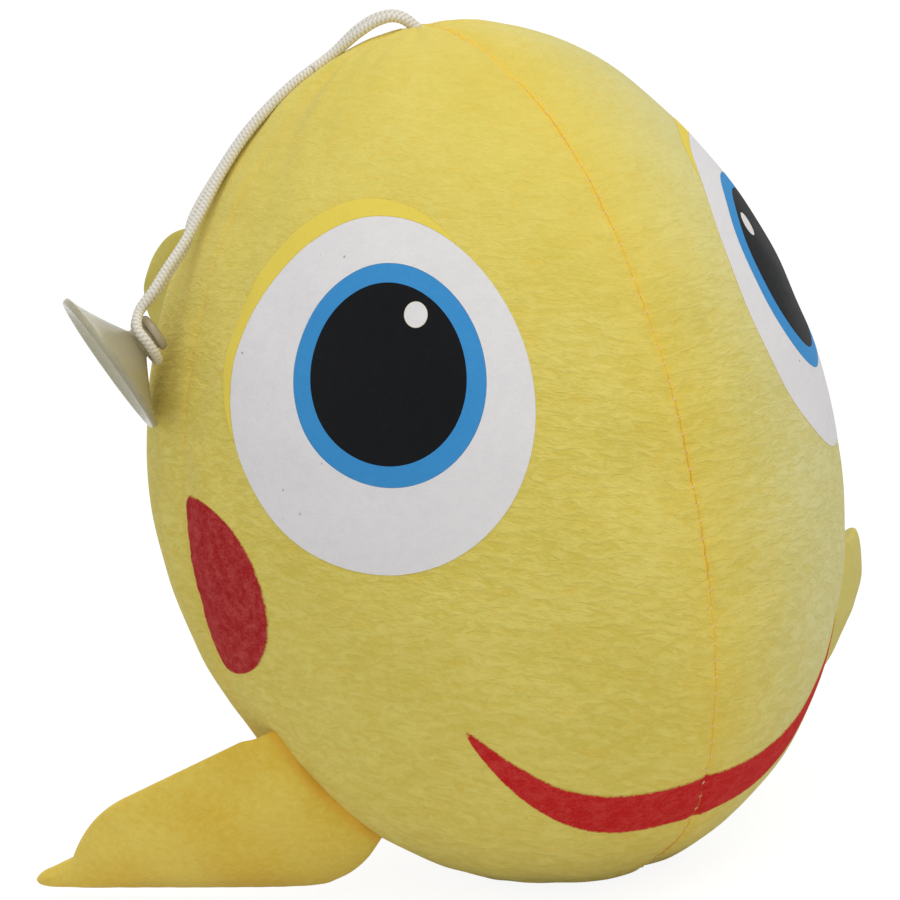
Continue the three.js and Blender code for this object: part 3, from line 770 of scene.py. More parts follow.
@dataclass
class PlushSkin:
    """The sewn skin as a surface of two angles, in millimetres.

    The seams lie in the planes x = centre_seam and y = side_seam. A point is found from
    the upright line in which the planes cross: turn goes from the nose to the fish's
    right, polar from the crown down to the belly.
    """

    egg_height: float = 185.0
    belly_flat: float = 3.0
    half_width: float = 72.0
    nose_reach: float = 90.0
    back_reach: float = 66.0
    face_fullness: float = 0.03
    side_fullness: float = 0.08
    crown_lean: float = 5.5
    spine_bow: float = 13.0
    centre_seam: float = 0.6
    side_seam: float = 17.0
    hub_height: float = 88.0
    ray_length: float = 170.0
    table_round: float = 6.0
    groove_depth: float = 0.34
    groove_width: float = 1.3
    stitch_pitch: float = 3.7
    pucker_depth: float = 0.32
    pucker_reach: float = 2.6
    side_share: float = 0.4
    lumps: float = 0.16
    wrinkles: float = 0.16
    swell: Array = field(default_factory=lambda: np.zeros((8, 8)))

    @property
    def hub(self) -> Array:
        """Point from which turn and polar are measured."""
        return np.array([self.centre_seam, self.side_seam, self.hub_height])

    def spine(self, height: Array | float) -> Array | float:
        """Forward shift of the egg's rings: a lean, and a bow that has no mean."""
        return self.crown_lean * height - self.spine_bow * (height * height - 1 / 3)

    @property
    def rest(self) -> float:
        """Forward shift of the ring on the table."""
        return float(self.spine(2 * self.belly_flat / self.egg_height - 1))

    def egg_point(self, polar: Array, turn: Array) -> Array:
        """Point of the plain egg at its own two angles.

        The height is half the egg's by the cosine of polar; the ring round it is an
        ellipse with its own reach before and behind, narrower towards the crown.

        Args:
            polar: Angle from the crown.
            turn: Angle from the nose to the fish's right.

        Returns:
            Points, three numbers along the last axis.
        """
        height, ring = np.cos(polar), np.sin(polar)
        length = np.where(np.cos(turn) > 0, self.nose_reach, self.back_reach)
        x = -self.half_width * ring * (1 - self.side_fullness * height) * np.sin(turn)
        forward = length * ring * (1 - self.face_fullness * height) * np.cos(turn)
        z = self.egg_height / 2 * (height + 1) - self.belly_flat
        return np.stack([x, self.spine(height) - self.rest - forward, z], axis=-1)

    def level(self, points: Array) -> Array:
        """Size of the egg, of the same form, that passes through each point; 1 is the skin.

        Args:
            points: Points, three numbers along the last axis.

        Returns:
            Size at each point.
        """
        height = (points[..., 2] + self.belly_flat) / (self.egg_height / 2) - 1
        across = points[..., 0] / (self.half_width * (1 - self.side_fullness * height))
        forward = self.spine(height) - self.rest - points[..., 1]
        length = np.where(forward > 0, self.nose_reach, self.back_reach)
        length = length * (1 - self.face_fullness * height)
        return across**2 + (forward / length) ** 2 + height**2

    def outward(self, points: Array) -> Array:
        """Direction off the skin: the slope of level, turned straight down on the belly.

        Args:
            points: Points, three numbers along the last axis.

        Returns:
            Directions, one long.
        """
        step = 0.05 * np.eye(3)
        slope = [self.level(points + axis) - self.level(points - axis) for axis in step]
        belly = smooth_step(points[..., 2], 2.5, 0.0)[..., None]
        return unit(unit(np.stack(slope, axis=-1)) * (1 - belly) - np.array([0.0, 0.0, 1.0]) * belly)

    def hit(self, turn: Array, polar: Array) -> Array:
        """Point where a ray from the hub leaves the egg, found by halving.

        The belly is cut by the table, with the edge rounded by a smooth minimum.

        Args:
            turn: Angle from the nose to the fish's right.
            polar: Angle from straight up.

        Returns:
            Points on the skin.
        """
        turn, polar = np.broadcast_arrays(turn, polar)
        ray = np.stack(
            [-np.sin(polar) * np.sin(turn), -np.sin(polar) * np.cos(turn), np.cos(polar)], axis=-1
        )
        egg = halved(
            lambda reach: self.level(self.hub + ray * reach[..., None]) < 1, turn.shape, self.ray_length
        )
        table = self.hub_height / np.maximum(-ray[..., 2], 1e-3)
        near = np.clip(0.5 + (table - egg) / self.table_round, 0, 1)
        reach = egg * near + table * (1 - near) - self.table_round / 2 * near * (1 - near)
        return self.hub + ray * reach[..., None]

    def angles(self, points: Array) -> tuple[Array, Array]:
        """Turn and polar of points, seen from the hub."""
        ray = unit(points - self.hub)
        return np.arctan2(-ray[..., 0], -ray[..., 1]), np.arccos(np.clip(ray[..., 2], -1, 1))

    def seam_distances(self, points: Array, normals: Array) -> tuple[Array, Array]:
        """Distances along the cloth to the centre seam and to the side seams.

        Args:
            points: Points, three numbers along the last axis.
            normals: Directions off the skin.

        Returns:
            Distances to the centre seam and to the nearer side seam.
        """
        centre = np.abs(points[..., 0] - self.centre_seam) / np.sqrt(1.02 - normals[..., 0] ** 2)
        side = np.abs(points[..., 1] - self.side_seam) / np.sqrt(1.02 - normals[..., 1] ** 2)
        return centre, side

    def swollen(self, turn: Array, polar: Array) -> Array:
        """Swell of the simulated cloth, read from its grid by cubic B-spline weights.

        Args:
            turn: Angle from the nose to the fish's right.
            polar: Angle from straight up.

        Returns:
            Millimetres off the egg.
        """
        rows, columns = self.swell.shape
        row = np.clip(polar / np.pi, 0, 1) * (rows - 1)
        column = np.mod(turn / (2 * np.pi), 1.0) * columns
        row_start, column_start = np.floor(row).astype(int), np.floor(column).astype(int)
        total = np.zeros(np.broadcast(row, column).shape)
        for down in range(-1, 3):
            for across in range(-1, 3):
                weight = bspline(row - row_start - down) * bspline(column - column_start - across)
                nearest = np.clip(row_start + down, 0, rows - 1)
                total = total + weight * self.swell[nearest, (column_start + across) % columns]
        return total

    def relief(self, points: Array, normals: Array, turn: Array, polar: Array) -> Array:
        """Height of the sewn skin over the egg.

        Each seam presses a groove whose depth falls off as a bell curve, each stitch a
        dimple beside it, and the drawn-in cloth wrinkles away from the seam. Slow lumps of
        the filling and the simulated swell are added.

        Args:
            points: Points of the plain skin.
            normals: Directions off it.
            turn: Angle from the nose to the fish's right.
            polar: Angle from straight up.

        Returns:
            Millimetres off the plain skin.
        """
        centre, side = self.seam_distances(points, normals)
        down = polar * POLAR_MM
        round_ = np.mod(turn, 2 * np.pi) * TURN_MM
        height = self.lumps * cloudy(round_, down, 26.0, 3) + self.swollen(turn, polar)
        behind, right = points[..., 1] > self.side_seam, points[..., 0] < self.centre_seam
        seams = ((centre, behind * 417.0, 5, 1.0), (side, right * 731.0, 9, self.side_share))
        for distance, shift, seed, share in seams:
            along = down + shift
            uneven = 1 + 0.5 * np.sin(along / 13.0) * np.sin(along / 31.0)
            phase = 2 * np.pi * (along + 0.7 * np.sin(along / 9.0)) / self.stitch_pitch
            dimple = (0.5 + 0.5 * np.cos(phase)) ** 2 * np.exp(-distance / self.pucker_reach)
            wrinkle = cloudy(along, distance * 0.3, 9.0, seed) * np.exp(-distance / 8.0)
            height = height - share * self.groove_depth * np.exp(-((distance / self.groove_width) ** 2))
            height = height - share * self.pucker_depth * uneven * dimple + self.wrinkles * wrinkle
        return height

    def sewn(self, turn: Array, polar: Array, lift: Array | float = 0.0) -> Array:
        """Point of the finished skin, lifted off it along its normal; the belly lies flat.

        Args:
            turn: Angle from the nose to the fish's right.
            polar: Angle from straight up.
            lift: Further height, in millimetres.

        Returns:
            Points, three numbers along the last axis.
        """
        turn, polar = np.broadcast_arrays(turn, polar)
        points = self.hit(turn, polar)
        normals = self.outward(points)
        off_table = smooth_step(points[..., 2], 0.0, 2.5)
        height = self.relief(points, normals, turn, polar) * off_table + lift
        return points + normals * height[..., None]

    def on_skin(self, polar: Array, turn: Array, lift: float) -> Array:
        """Point of the finished skin over the egg's own angles."""
        return self.sewn(*self.angles(self.egg_point(polar, turn)), lift)

    def slopes(self, polar: float, turn: float) -> Pair:
        """Millimetres of skin for a radian of polar and for a radian of turn.

        Args:
            polar: Polar of a place of the egg.
            turn: Turn of it.

        Returns:
            The two lengths.
        """
        step = 1e-4
        down = self.egg_point(np.array(polar + step), np.array(turn))
        down = down - self.egg_point(np.array(polar - step), np.array(turn))
        round_ = self.egg_point(np.array(polar), np.array(turn + step))
        round_ = round_ - self.egg_point(np.array(polar), np.array(turn - step))
        return float(np.linalg.norm(down) / 2 / step), float(np.linalg.norm(round_) / 2 / step)


def bspline(distance: Array) -> Array:
    """Weight of a cubic B-spline at a distance from its knot.

    Args:
        distance: Distance in knots.

    Returns:
        The weight, 0 from two knots on.
    """
    away = np.abs(distance)
    near = 2 / 3 - away**2 + away**3 / 2
    return np.where(away < 1, near, np.where(away < 2, (2 - away) ** 3 / 6, 0.0))


@dataclass
class Filling:
    """Blows the skin up against its seams by a cloth simulation."""

    rows: int = 72
    columns: int = 120
    frames: int = 18
    pressure: float = 4.0
    seam_shrink: float = 0.035
    seam_reach: float = 3.5
    start_inside: float = 1.2
    most: float = 0.7

    def settle(self, skin: PlushSkin) -> Array:
        """Simulates the skin and gives its swell off the egg.

        Args:
            skin: The skin, of which only the plain form is read.

        Returns:
            Millimetres off the plain form for a grid of polar by turn, about a mean of 0.
        """
        polar = np.linspace(0, np.pi, self.rows)[1:-1, None]
        turn = full_turn(self.columns)[None, :]
        plain = skin.hit(turn, polar)
        normals = skin.outward(plain)
        centre, side = skin.seam_distances(plain, normals)
        tight = np.exp(-((np.minimum(centre, side) / self.seam_reach) ** 2))
        shell = grid_object("settling", plain - normals * self.start_inside, closed=True, caps=True)
        self.weigh(shell, "seams", tight)
        self.weigh(shell, "table", smooth_step(plain[..., 2], 3.0, 0.5))
        moved = self.run(shell)[: plain.size // 3].reshape(plain.shape) / MM
        bpy.data.objects.remove(shell)
        swell = ((moved - plain) * normals).sum(axis=-1)
        swell = np.clip(swell - np.median(swell), -self.most, self.most)
        return np.pad(swell, ((1, 1), (0, 0)), mode="edge")

    @staticmethod
    def weigh(shell: Piece, name: str, weights: Array) -> None:
        """Adds a vertex group in steps of a sixteenth.

        Args:
            shell: The cloth.
            name: Name of the group.
            weights: Weight of each point, from 0 to 1.
        """
        group = shell.vertex_groups.new(name=name)
        steps = np.round(weights.ravel() * 16).astype(int)
        for step in range(1, 17):
            group.add(np.flatnonzero(steps == step).tolist(), step / 16, "REPLACE")

    def run(self, shell: Piece) -> Array:
        """Steps the cloth and reads where its points end, in metres.

        Args:
            shell: The cloth.

        Returns:
            Places of its points.
        """
        cloth = shell.modifiers.new("cloth", "CLOTH")
        settings = cloth.settings
        settings.quality = 6
        settings.mass = 0.3
        settings.tension_stiffness = settings.compression_stiffness = 18
        settings.shear_stiffness = 8
        settings.bending_stiffness = 0.25
        settings.use_pressure = True
        settings.uniform_pressure_force = self.pressure
        settings.vertex_group_shrink = "seams"
        settings.shrink_min, settings.shrink_max = 0.0, self.seam_shrink
        settings.vertex_group_mass = "table"
        settings.effector_weights.gravity = 0
        cloth.collision_settings.use_collision = False
        cloth.point_cache.frame_start, cloth.point_cache.frame_end = 1, self.frames
        scene = bpy.context.scene
        for number in range(1, self.frames + 1):
            scene.frame_set(number)
        settled = shell.evaluated_get(bpy.context.evaluated_depsgraph_get())
        places = np.empty(len(settled.data.vertices) * 3, dtype=np.float32)
        settled.data.vertices.foreach_get("co", places)
        scene.frame_set(1)
        return places.reshape(-1, 3).astype(float)


@dataclass
class Body:
    """The stuffed body: four panels, the filling inside, and the thread in the seams.

    A glow is the peak and the width of the golden line along a seam; the pocket for the
    knot is given by its depth and width.
    """

    skin: PlushSkin
    wardrobe: Wardrobe
    columns: int = 110
    rows: int = 250
    crown_hole: float = 2.7
    belly_hole: float = 0.4
    seam_slit: float = 0.006
    turned_in: tuple[float, ...] = (-3.6, -2.0, -0.8)
    crown_draw: tuple[float, ...] = (0.1, 0.45, 0.85)
    cloth: float = 1.1
    stitch: float = 0.45
    thread: float = 0.13
    thread_span: Pair = (8.0, 262.0)
    seam_glows: tuple[Pair, ...] = ((1.0, 1.0), (0.22, 9.0))
    side_glow: Pair = (0.35, 1.6)
    filling_inset: float = 6.0
    filling_lumps: float = 0.9
    knot_pocket: Pair = (19.0, 15.0)

    def build(self) -> list[Piece]:
        """Makes every piece of the body."""
        panels = [self.panel(quarter) for quarter in Quarter]
        return [*panels, self.stuffing(), *self.threads()]

    def panel(self, quarter: Quarter) -> Piece:
        """One panel between two seams, with its edges turned in.

        Turn runs over a quarter, closer together towards the seams, and polar from the
        crown to the belly; the first and last columns repeat the seam below the skin. The
        crown's edge is drawn in as it turns down, so that the cloth closes round the cord.

        Args:
            quarter: Which panel.

        Returns:
            The panel, riding on the plush.
        """
        share = np.linspace(0, 1, self.columns)
        share = share - 0.75 * np.sin(2 * np.pi * share) / (2 * np.pi)
        slit = self.seam_slit / TURN_MM
        turn = quarter.value * np.pi / 2 + slit + share * (np.pi / 2 - 2 * slit)
        lips = len(self.turned_in)
        turn = np.concatenate([np.full(lips, turn[0]), turn, np.full(lips, turn[-1])])
        polar = np.radians(np.linspace(self.crown_hole, 180 - self.belly_hole, self.rows))
        polar = np.concatenate([polar[0] * np.array(self.crown_draw), polar])
        depth = np.array(self.turned_in)
        side_lip = np.concatenate([depth, np.zeros(self.columns), depth[::-1]])
        crown_lip = np.concatenate([depth, np.zeros(self.rows)])
        lift = np.minimum(side_lip[None, :], crown_lip[:, None])
        turn_grid, polar_grid = np.meshgrid(turn, polar)
        points = self.skin.sewn(turn_grid, polar_grid, lift)
        plain = self.skin.hit(turn_grid, polar_grid)
        centre, side = self.skin.seam_distances(plain, self.skin.outward(plain))
        glows = [(centre, glow) for glow in self.seam_glows] + [(side, self.side_glow)]
        seam = np.max([peak * np.exp(-((away / width) ** 2)) for away, (peak, width) in glows], axis=0)
        piece = thicken(grid_object(quarter.piece, points, values={"seam": seam}), self.cloth)
        finish = self.wardrobe.plush_right if "RIGHT" in quarter.name else self.wardrobe.plush_left
        return dress(piece, finish, "plush", (quarter.node,))

    def stuffing(self) -> Piece:
        """The fibre filling: the skin drawn inwards, lumpy, with a pocket under the crown.

        Returns:
            The filling, riding on the plush.
        """
        polar = np.radians(np.linspace(1.5, 178.5, 90))[:, None]
        turn = full_turn(120)[None, :]
        depth, width = self.knot_pocket
        pocket = depth * np.exp(-((polar * POLAR_MM / width) ** 2))
        lumps = self.filling_lumps * cloudy(turn * TURN_MM, polar * POLAR_MM, 15.0, 21)
        lift = -self.filling_inset - pocket + lumps
        points = self.skin.hit(turn, polar)
        points = points + self.skin.outward(points) * lift[..., None]
        piece = grid_object("body_filling", points, closed=True, caps=True)
        return dress(piece, self.wardrobe.fibre, "plush", ("stuffing",))

    def threads(self) -> list[Piece]:
        """The stitches that show across the seams.

        Returns:
            One piece for the centre seams and one for the side seams.
        """
        pieces = []
        seams = (
            ("centre_thread", 0.0, self.wardrobe.fleck, 0.0),
            ("side_thread", 0.5, self.wardrobe.thread, 0.16),
        )
        for name, first, finish, sunk in seams:
            down = np.arange(*self.thread_span, self.skin.stitch_pitch) / POLAR_MM
            turns = (first * np.pi + np.array([0.0, np.pi]))[:, None] + np.zeros_like(down)
            piece = self.stitches(name, turns.ravel(), np.tile(down, 2), sunk)
            pieces.append(dress(piece, finish, "plush"))
        return pieces

    def stitches(self, name: str, turn: Array, polar: Array, sunk: float) -> Piece:
        """Short threads over a seam, each a bent tube.

        A stitch runs across its seam from -1 to 1 and arches over the groove as one less
        the square of its place; a ring of six points goes round it.

        Args:
            name: Name of the piece.
            turn: Turn of each stitch.
            polar: Polar of each stitch.
            sunk: How deep the stitches lie in the pile.

        Returns:
            One object with all the stitches.
        """
        place = np.linspace(-1, 1, 7)
        radius = self.thread * np.sqrt(1.04 - place**2)
        offset = self.stitch * place / TURN_MM / np.maximum(np.sin(polar)[:, None], 0.25)
        arch = 1.6 * self.thread * (1 - place**2) - 0.9 * self.thread - sunk
        line = self.skin.sewn(turn[:, None] + offset, polar[:, None] + 0.004 * place, arch)
        normals = self.skin.outward(line)
        across = unit(np.gradient(line, axis=1))
        beside = unit(np.cross(across, normals))
        tubes = rings(line, beside, normals, radius[:, None], full_turn(6))
        index = np.arange(tubes.size // 3).reshape(tubes.shape[:3])
        quads = cells(np.concatenate([index, index[:, :, :1]], axis=2)).tolist()
        ends = np.concatenate([index[:, 0, ::-1], index[:, -1]]).tolist()
        return smooth_object(name, tubes.reshape(-1, 3) * MM, quads + ends)


def dress(
    piece: Piece,
    finish: Material,
    body: str | None,
    nodes: Sequence[str] = (),
) -> Piece:
    """Gives a piece its finish, its body and the nodes that it stands for.

    Args:
        piece: The piece.
        finish: Its material.
        body: CAD body on which it rides, or None to leave it unattached.
        nodes: CAD nodes that it replaces.

    Returns:
        The piece.
    """
    piece.data.materials.append(finish)
    if body is not None:
        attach(piece, body)
    if nodes:
        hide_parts(*nodes)
    return piece


@dataclass
class FacePrints:
    """The transfer prints of the eyes, the cheeks and the mouth."""

    skin: PlushSkin
    wardrobe: Wardrobe
    eye_turn: float = math.radians(47.5)
    eye_polar: float = math.radians(66.8)
    white_size: Pair = (69.0, 74.0)
    white_shift: Pair = (3.3, -3.3)
    iris: Pair = (43.2, 45.6)
    pupil: Pair = (34.9, 37.1)
    glint: Pair = (5.5, 5.5)
    glint_shift: Pair = (-7.0, 11.6)
    crescent: Pair = (1.0, 5.5)
    crescent_angles: Pair = (-20.0, 128.0)
    crescent_length: float = 90.0
    cheek_polar: float = math.radians(97.5)
    cheek_size: Pair = (27.0, 40.0)
    cheek_margin: float = 1.2
    cheek_corner: float = 4.5
    cheek_bend_from: float = 0.72
    cheek_bend_over: float = 0.28
    cheek_least: float = 0.4
    cheek_fray: float = 0.12
    smile_polar: float = math.radians(134.5)
    smile_reach: float = math.radians(43.5)
    smile_lift: float = 27.0
    smile_band: float = 13.5
    smile_margin: float = 0.03
    smile_length: float = 60.0
    smile_least: float = 0.8
    smile_fray: float = 0.18
    film: float = 0.3
    lift: float = 0.08
    gap: float = 0.015

    def build(self) -> list[Piece]:
        """Makes the prints of both sides."""
        sides = [(*self.eye(side), self.cheek(side), self.smile(side)) for side in Side]
        return [piece for pieces in sides for piece in pieces]

    def film_piece(
        self,
        name: str,
        polar: Array,
        turn: Array,
        rim: Array,
        side: Side,
        finish: Material,
        closed: bool = False,
    ) -> Piece:
        """A film on the skin over a grid of the egg's angles.

        Args:
            name: CAD node that the film stands for.
            polar: Polar of each point of the grid.
            turn: Turn of each point, for the right side.
            rim: Distance of each point from the film's edge, in millimetres.
            side: Side of the fish.
            finish: Material of the film.
            closed: Whether the columns go round.

        Returns:
            The film, riding on the plush.
        """
        points = self.skin.on_skin(polar, side.value * turn, self.lift)
        piece = grid_object(
            f"{name}_print", points, closed=closed, flip=side is Side.LEFT, values={"rim": rim}
        )
        return dress(thicken(piece, self.film), finish, "plush", (name,))

    def eye_place(self, back: Array, up: Array) -> tuple[Array, Array]:
        """Polar and turn of a place given from the middle of the right eye, in millimetres."""
        down, round_ = self.skin.slopes(self.eye_polar, self.eye_turn)
        return self.eye_polar - up / down, self.eye_turn + back / round_

    def oval(self, middle: Pair, size: Pair, angle: Array) -> Array:
        """Points of an oval round a middle: back by the cosine, up by the sine of the angle."""
        back = middle[0] + size[0] / 2 * np.cos(angle)
        return np.stack([back, middle[1] + size[1] / 2 * np.sin(angle)], axis=-1)

    def eye(self, side: Side) -> list[Piece]:
        """White, iris, pupil, glint and crescent, each a ring between two ovals.

        Args:
            side: Side of the fish.

        Returns:
            The five films.
        """
        gap, middle, speck = 2 * self.gap, (0.0, 0.0), (0.15, 0.15)
        angle = full_turn(160)[None, :]
        black, blue, white = self.wardrobe.black, self.wardrobe.blue, self.wardrobe.white
        discs = {
            "pupil": (self.glint_shift, self.glint, middle, self.pupil, 16, black, "print_black"),
            "iris": (middle, self.pupil, middle, self.iris, 6, blue, "print_blue"),
            "white": (middle, self.iris, self.white_shift, self.white_size, 16, white, "print_white"),
            "glint": (self.glint_shift, speck, self.glint_shift, self.glint, 5, white, "print_white"),
        }
        pieces = []
        for part, (inner_at, inner_size, outer_at, outer_size, rows, finish, slot) in discs.items():
            share = bordered(rows)[:, None, None]
            inner = self.oval(inner_at, (inner_size[0] + gap, inner_size[1] + gap), angle)
            outer = self.oval(outer_at, outer_size, angle)
            places = inner + (outer - inner) * share
            rim = np.linalg.norm(outer - inner, axis=-1) * (1 - share[..., 0])
            polar, turn = self.eye_place(places[..., 0], places[..., 1])
            name = f"{side.word}_eye_{part}"
            pieces.append(self.film_piece(name, polar, turn, rim, side, finish, closed=True))
        return [*pieces, self.eye_crescent(side)]

    def eye_crescent(self, side: Side) -> Piece:
        """The yellow crescent behind the white: its width is a half sine along its length.

        Args:
            side: Side of the fish.

        Returns:
            The film.
        """
        along = np.linspace(0, 1, 90)[None, :]
        share = bordered(8)[:, None]
        first, last = np.radians(self.crescent_angles)
        thin, thick = self.crescent
        swell = (thin + (thick - thin) * np.sin(np.pi * along)) * np.sqrt(1.002 - (2 * along - 1) ** 8)
        reach = self.gap + share * swell
        angle = first + along * (last - first)
        back = self.white_shift[0] + (self.white_size[0] / 2 + reach) * np.cos(angle)
        up = self.white_shift[1] + (self.white_size[1] / 2 + reach) * np.sin(angle)
        ends = np.minimum(along, 1 - along) * self.crescent_length
        rim = np.minimum(np.minimum(share, 1 - share) * swell, ends)
        polar, turn = self.eye_place(back, up)
        name = f"{side.word}_eye_crescent"
        return self.film_piece(name, polar, turn, rim, side, self.wardrobe.yellow)

    def cheek(self, side: Side) -> Piece:
        """The red leaf: along the side seam, with half an ellipse in front of it.

        Its edge by the seam bends away in a quarter circle at either end. The turn for a
        place in front of the seam comes from halving, as the skin's y rises steadily with turn.

        Args:
            side: Side of the fish.

        Returns:
            The film.
        """
        along = np.sin(np.linspace(-1, 1, 60) * np.pi / 2)[None, :]
        share = bordered(26)[:, None]
        down, _ = self.skin.slopes(self.cheek_polar, np.pi / 2)
        half = self.cheek_size[1] / 2
        polar = self.cheek_polar + along * half / down + 0 * share
        bent = np.clip((np.abs(along) - self.cheek_bend_from) / self.cheek_bend_over, 0, 1)
        corner = self.cheek_corner * (1 - np.sqrt(1 - bent**2))
        reach = self.cheek_corner + (self.cheek_size[0] - self.cheek_corner) * np.sqrt(1 - along**2)
        width = np.maximum(self.cheek_least, reach - corner)
        edge = self.cheek_fray * cloudy(along * half + 0 * share, share * 0.0 + 3.0 * along, 3.0, 31)
        goal = self.skin.side_seam - self.cheek_margin - corner - share * (width + edge)
        turn = halved(lambda at: self.skin.egg_point(polar, at)[..., 1] < goal, goal.shape, np.pi)
        rim = np.minimum(np.minimum(share, 1 - share) * width, (1 - np.abs(along)) * half)
        name = f"{side.word}_cheek"
        return self.film_piece(name, polar, turn, rim, side, self.wardrobe.cheek)

    def smile(self, side: Side) -> Piece:
        """Half of the mouth: a band that rises with the fourth power towards its tip.

        Args:
            side: Side of the fish.

        Returns:
            The film.
        """
        down, round_ = self.skin.slopes(self.smile_polar, 0.0)
        start = (self.smile_margin - side.value * self.skin.centre_seam) / round_
        along = (1 - (1 - bordered(90)) ** 1.4)[None, :]
        share = bordered(18)[:, None]
        band = np.maximum(self.smile_least, self.smile_band * np.sqrt(1 - along**6))
        run = along * self.smile_length + 0 * share
        edge = self.smile_fray * cloudy(run, 9.0 * np.round(share), 3.2, 37)
        middle = self.smile_polar - self.smile_lift * along**4 / down
        polar = middle + ((share - 0.5) * (band + edge)) / down
        turn = start + along * (self.smile_reach - start) + 0 * share
        rim = np.minimum(np.minimum(share, 1 - share) * band, (1 - along) * self.smile_length)
        name = f"{side.word}_smile"
        return self.film_piece(name, polar, turn, rim, side, self.wardrobe.smile)


@dataclass
class Fin:
    """A flat stuffed fin, two cloths sewn round their edge and on to the body."""

    skin: PlushSkin
    wardrobe: Wardrobe
    suede: Material
    name: str
    nodes: tuple[str, str]
    turn: float
    root: Pair
    edge: float = 1.35
    crown: float = 3.2
    root_lift: float = 1.5
    tuck: float = 2.6
    wrinkle: float = 0.5
    pucker: float = 0.22
    lumps: float = 0.18
    tip_from: float = 0.93
    tip_over: float = 0.07
    seam_at: float = 0.006
    seam_width: float = 0.009
    wadding_thickness: float = 0.6
    wadding_width: float = 0.9
    wadding_trim: int = 6
    bend_length: float = 14.0
    rows: int = 110
    columns: int = 96

    def root_line(self, across: Array, lift: Array | float) -> Array:
        """Line on the skin, from the upper edge at -1 to the lower edge at 1.

        Args:
            across: From -1 at the upper edge to 1 at the lower edge.
            lift: Height over the skin, in millimetres.

        Returns:
            Points, three numbers along the last axis.
        """
        first, last = np.radians(self.root)
        polar = (first + last) / 2 + across * (last - first) / 2
        points = self.skin.egg_point(polar, np.radians(self.turn) + 0 * polar)
        return points + self.skin.outward(points) * np.asarray(lift)[..., None]

    def root_chord(self) -> tuple[Array, Array, float]:
        """Upper end, direction and length of the straight line under the root.

        Returns:
            Point, direction and millimetres.
        """
        ends = self.root_line(np.array([-1.0, 1.0]), self.root_lift)
        chord = ends[1] - ends[0]
        return ends[0], unit(chord), float(np.linalg.norm(chord))

    def sewn_on(self, share: Array, across: Array) -> Array:
        """Root line, tucked into the plush where the fin begins."""
        return self.root_line(across, self.root_lift - self.tuck * (1 - smooth_step(share, 0.0, 0.05)))

    def middle(self, share: Array, across: Array) -> Array:
        """Surface halfway between the two cloths.

        Args:
            share: From 0 at the root to 1 at the tip.
            across: From -1 at the upper edge to 1 at the lower edge.

        Returns:
            Points.
        """
        raise NotImplementedError

    def normal(self, share: Array, across: Array) -> Array:
        """Direction off the middle surface, from its slopes along and across the fin.

        Args:
            share: From 0 at the root to 1 at the tip.
            across: From -1 at the upper edge to 1 at the lower edge.

        Returns:
            Directions, one long.
        """
        step = 1e-3
        along = self.middle(np.minimum(share + step, 1), across)
        along = along - self.middle(np.maximum(share - step, 0), across)
        sideways = self.middle(share, np.minimum(across + step, 1))
        sideways = sideways - self.middle(share, np.maximum(across - step, -1))
        return unit(np.cross(along, sideways))

    def padded_form(self, thickness: float = 1.0) -> tuple[Array, Array]:
        """Closed form of the fin and its seam attribute.

        A ring of angle goes round the fin: across is its cosine, and the cloth stands off
        the middle surface by the edge's roll, the root of the sine, and the padding, the
        square of the sine by a half sine along the fin. Wrinkles fan out from the root.

        Args:
            thickness: Share of the full thickness.

        Returns:
            Points by rows and columns, and the nearness to the sewn root.
        """
        share = np.linspace(0, 1, self.rows)
        share = (share + 0.25 * np.sin(np.pi * share) / np.pi)[:, None]
        angle = full_turn(self.columns)[None, :]
        share, angle = np.broadcast_arrays(share, angle)
        across = np.cos(angle)
        around = np.abs(np.sin(angle))
        tip = np.clip((share - self.tip_from) / self.tip_over, 0, 1)
        closing = np.sqrt(np.clip(1 - tip**2, 0, 1))
        height = self.edge * around**0.6 + self.crown * np.sin(np.pi * share) * around**2
        wrinkle = self.wrinkle * cloudy(across * 16, share * 12, 9.0, 41)
        wrinkle = wrinkle * np.exp(-share / 0.16) * around
        pucker = self.pucker * np.sin(share * 95) * np.exp(-around / 0.3) * around
        lumps = self.lumps * cloudy(across * 20, share * 70, 12.0, 43) * around
        height = thickness * (height + wrinkle + pucker + lumps)
        offset = np.sign(np.sin(angle)) * height * closing
        points = self.middle(share, across) + self.normal(share, across) * offset[..., None]
        return points, np.exp(-(((share - self.seam_at) / self.seam_width) ** 2))

    def build(self) -> list[Piece]:
        """Makes the sewn fin and the wadding inside it.

        Returns:
            The cloth and the wadding.
        """
        points, seam = self.padded_form()
        shape = dict(closed=True, caps=True, flip=True)
        cloth = grid_object(self.name, points, values={"seam": seam}, merge=True, **shape)
        dress(cloth, self.suede, None, self.nodes)
        start = self.root_line(np.array(0.0), -1.0) * MM
        toward = unit(points[self.rows // 5].mean(axis=0) * MM - start)
        inner, _ = self.padded_form(self.wadding_thickness)
        middle = inner.mean(axis=1, keepdims=True)
        inner = (middle + (inner - middle) * self.wadding_width)[self.wadding_trim : -self.wadding_trim]
        wadding = grid_object(f"{self.name}_fibre", inner, **shape)
        dress(wadding, self.wardrobe.fibre, None, (f"{self.name}_wadding",))
        end = start + toward * self.bend_length * MM
        for piece in (cloth, wadding):
            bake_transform(piece)
        return [cloth, wadding]


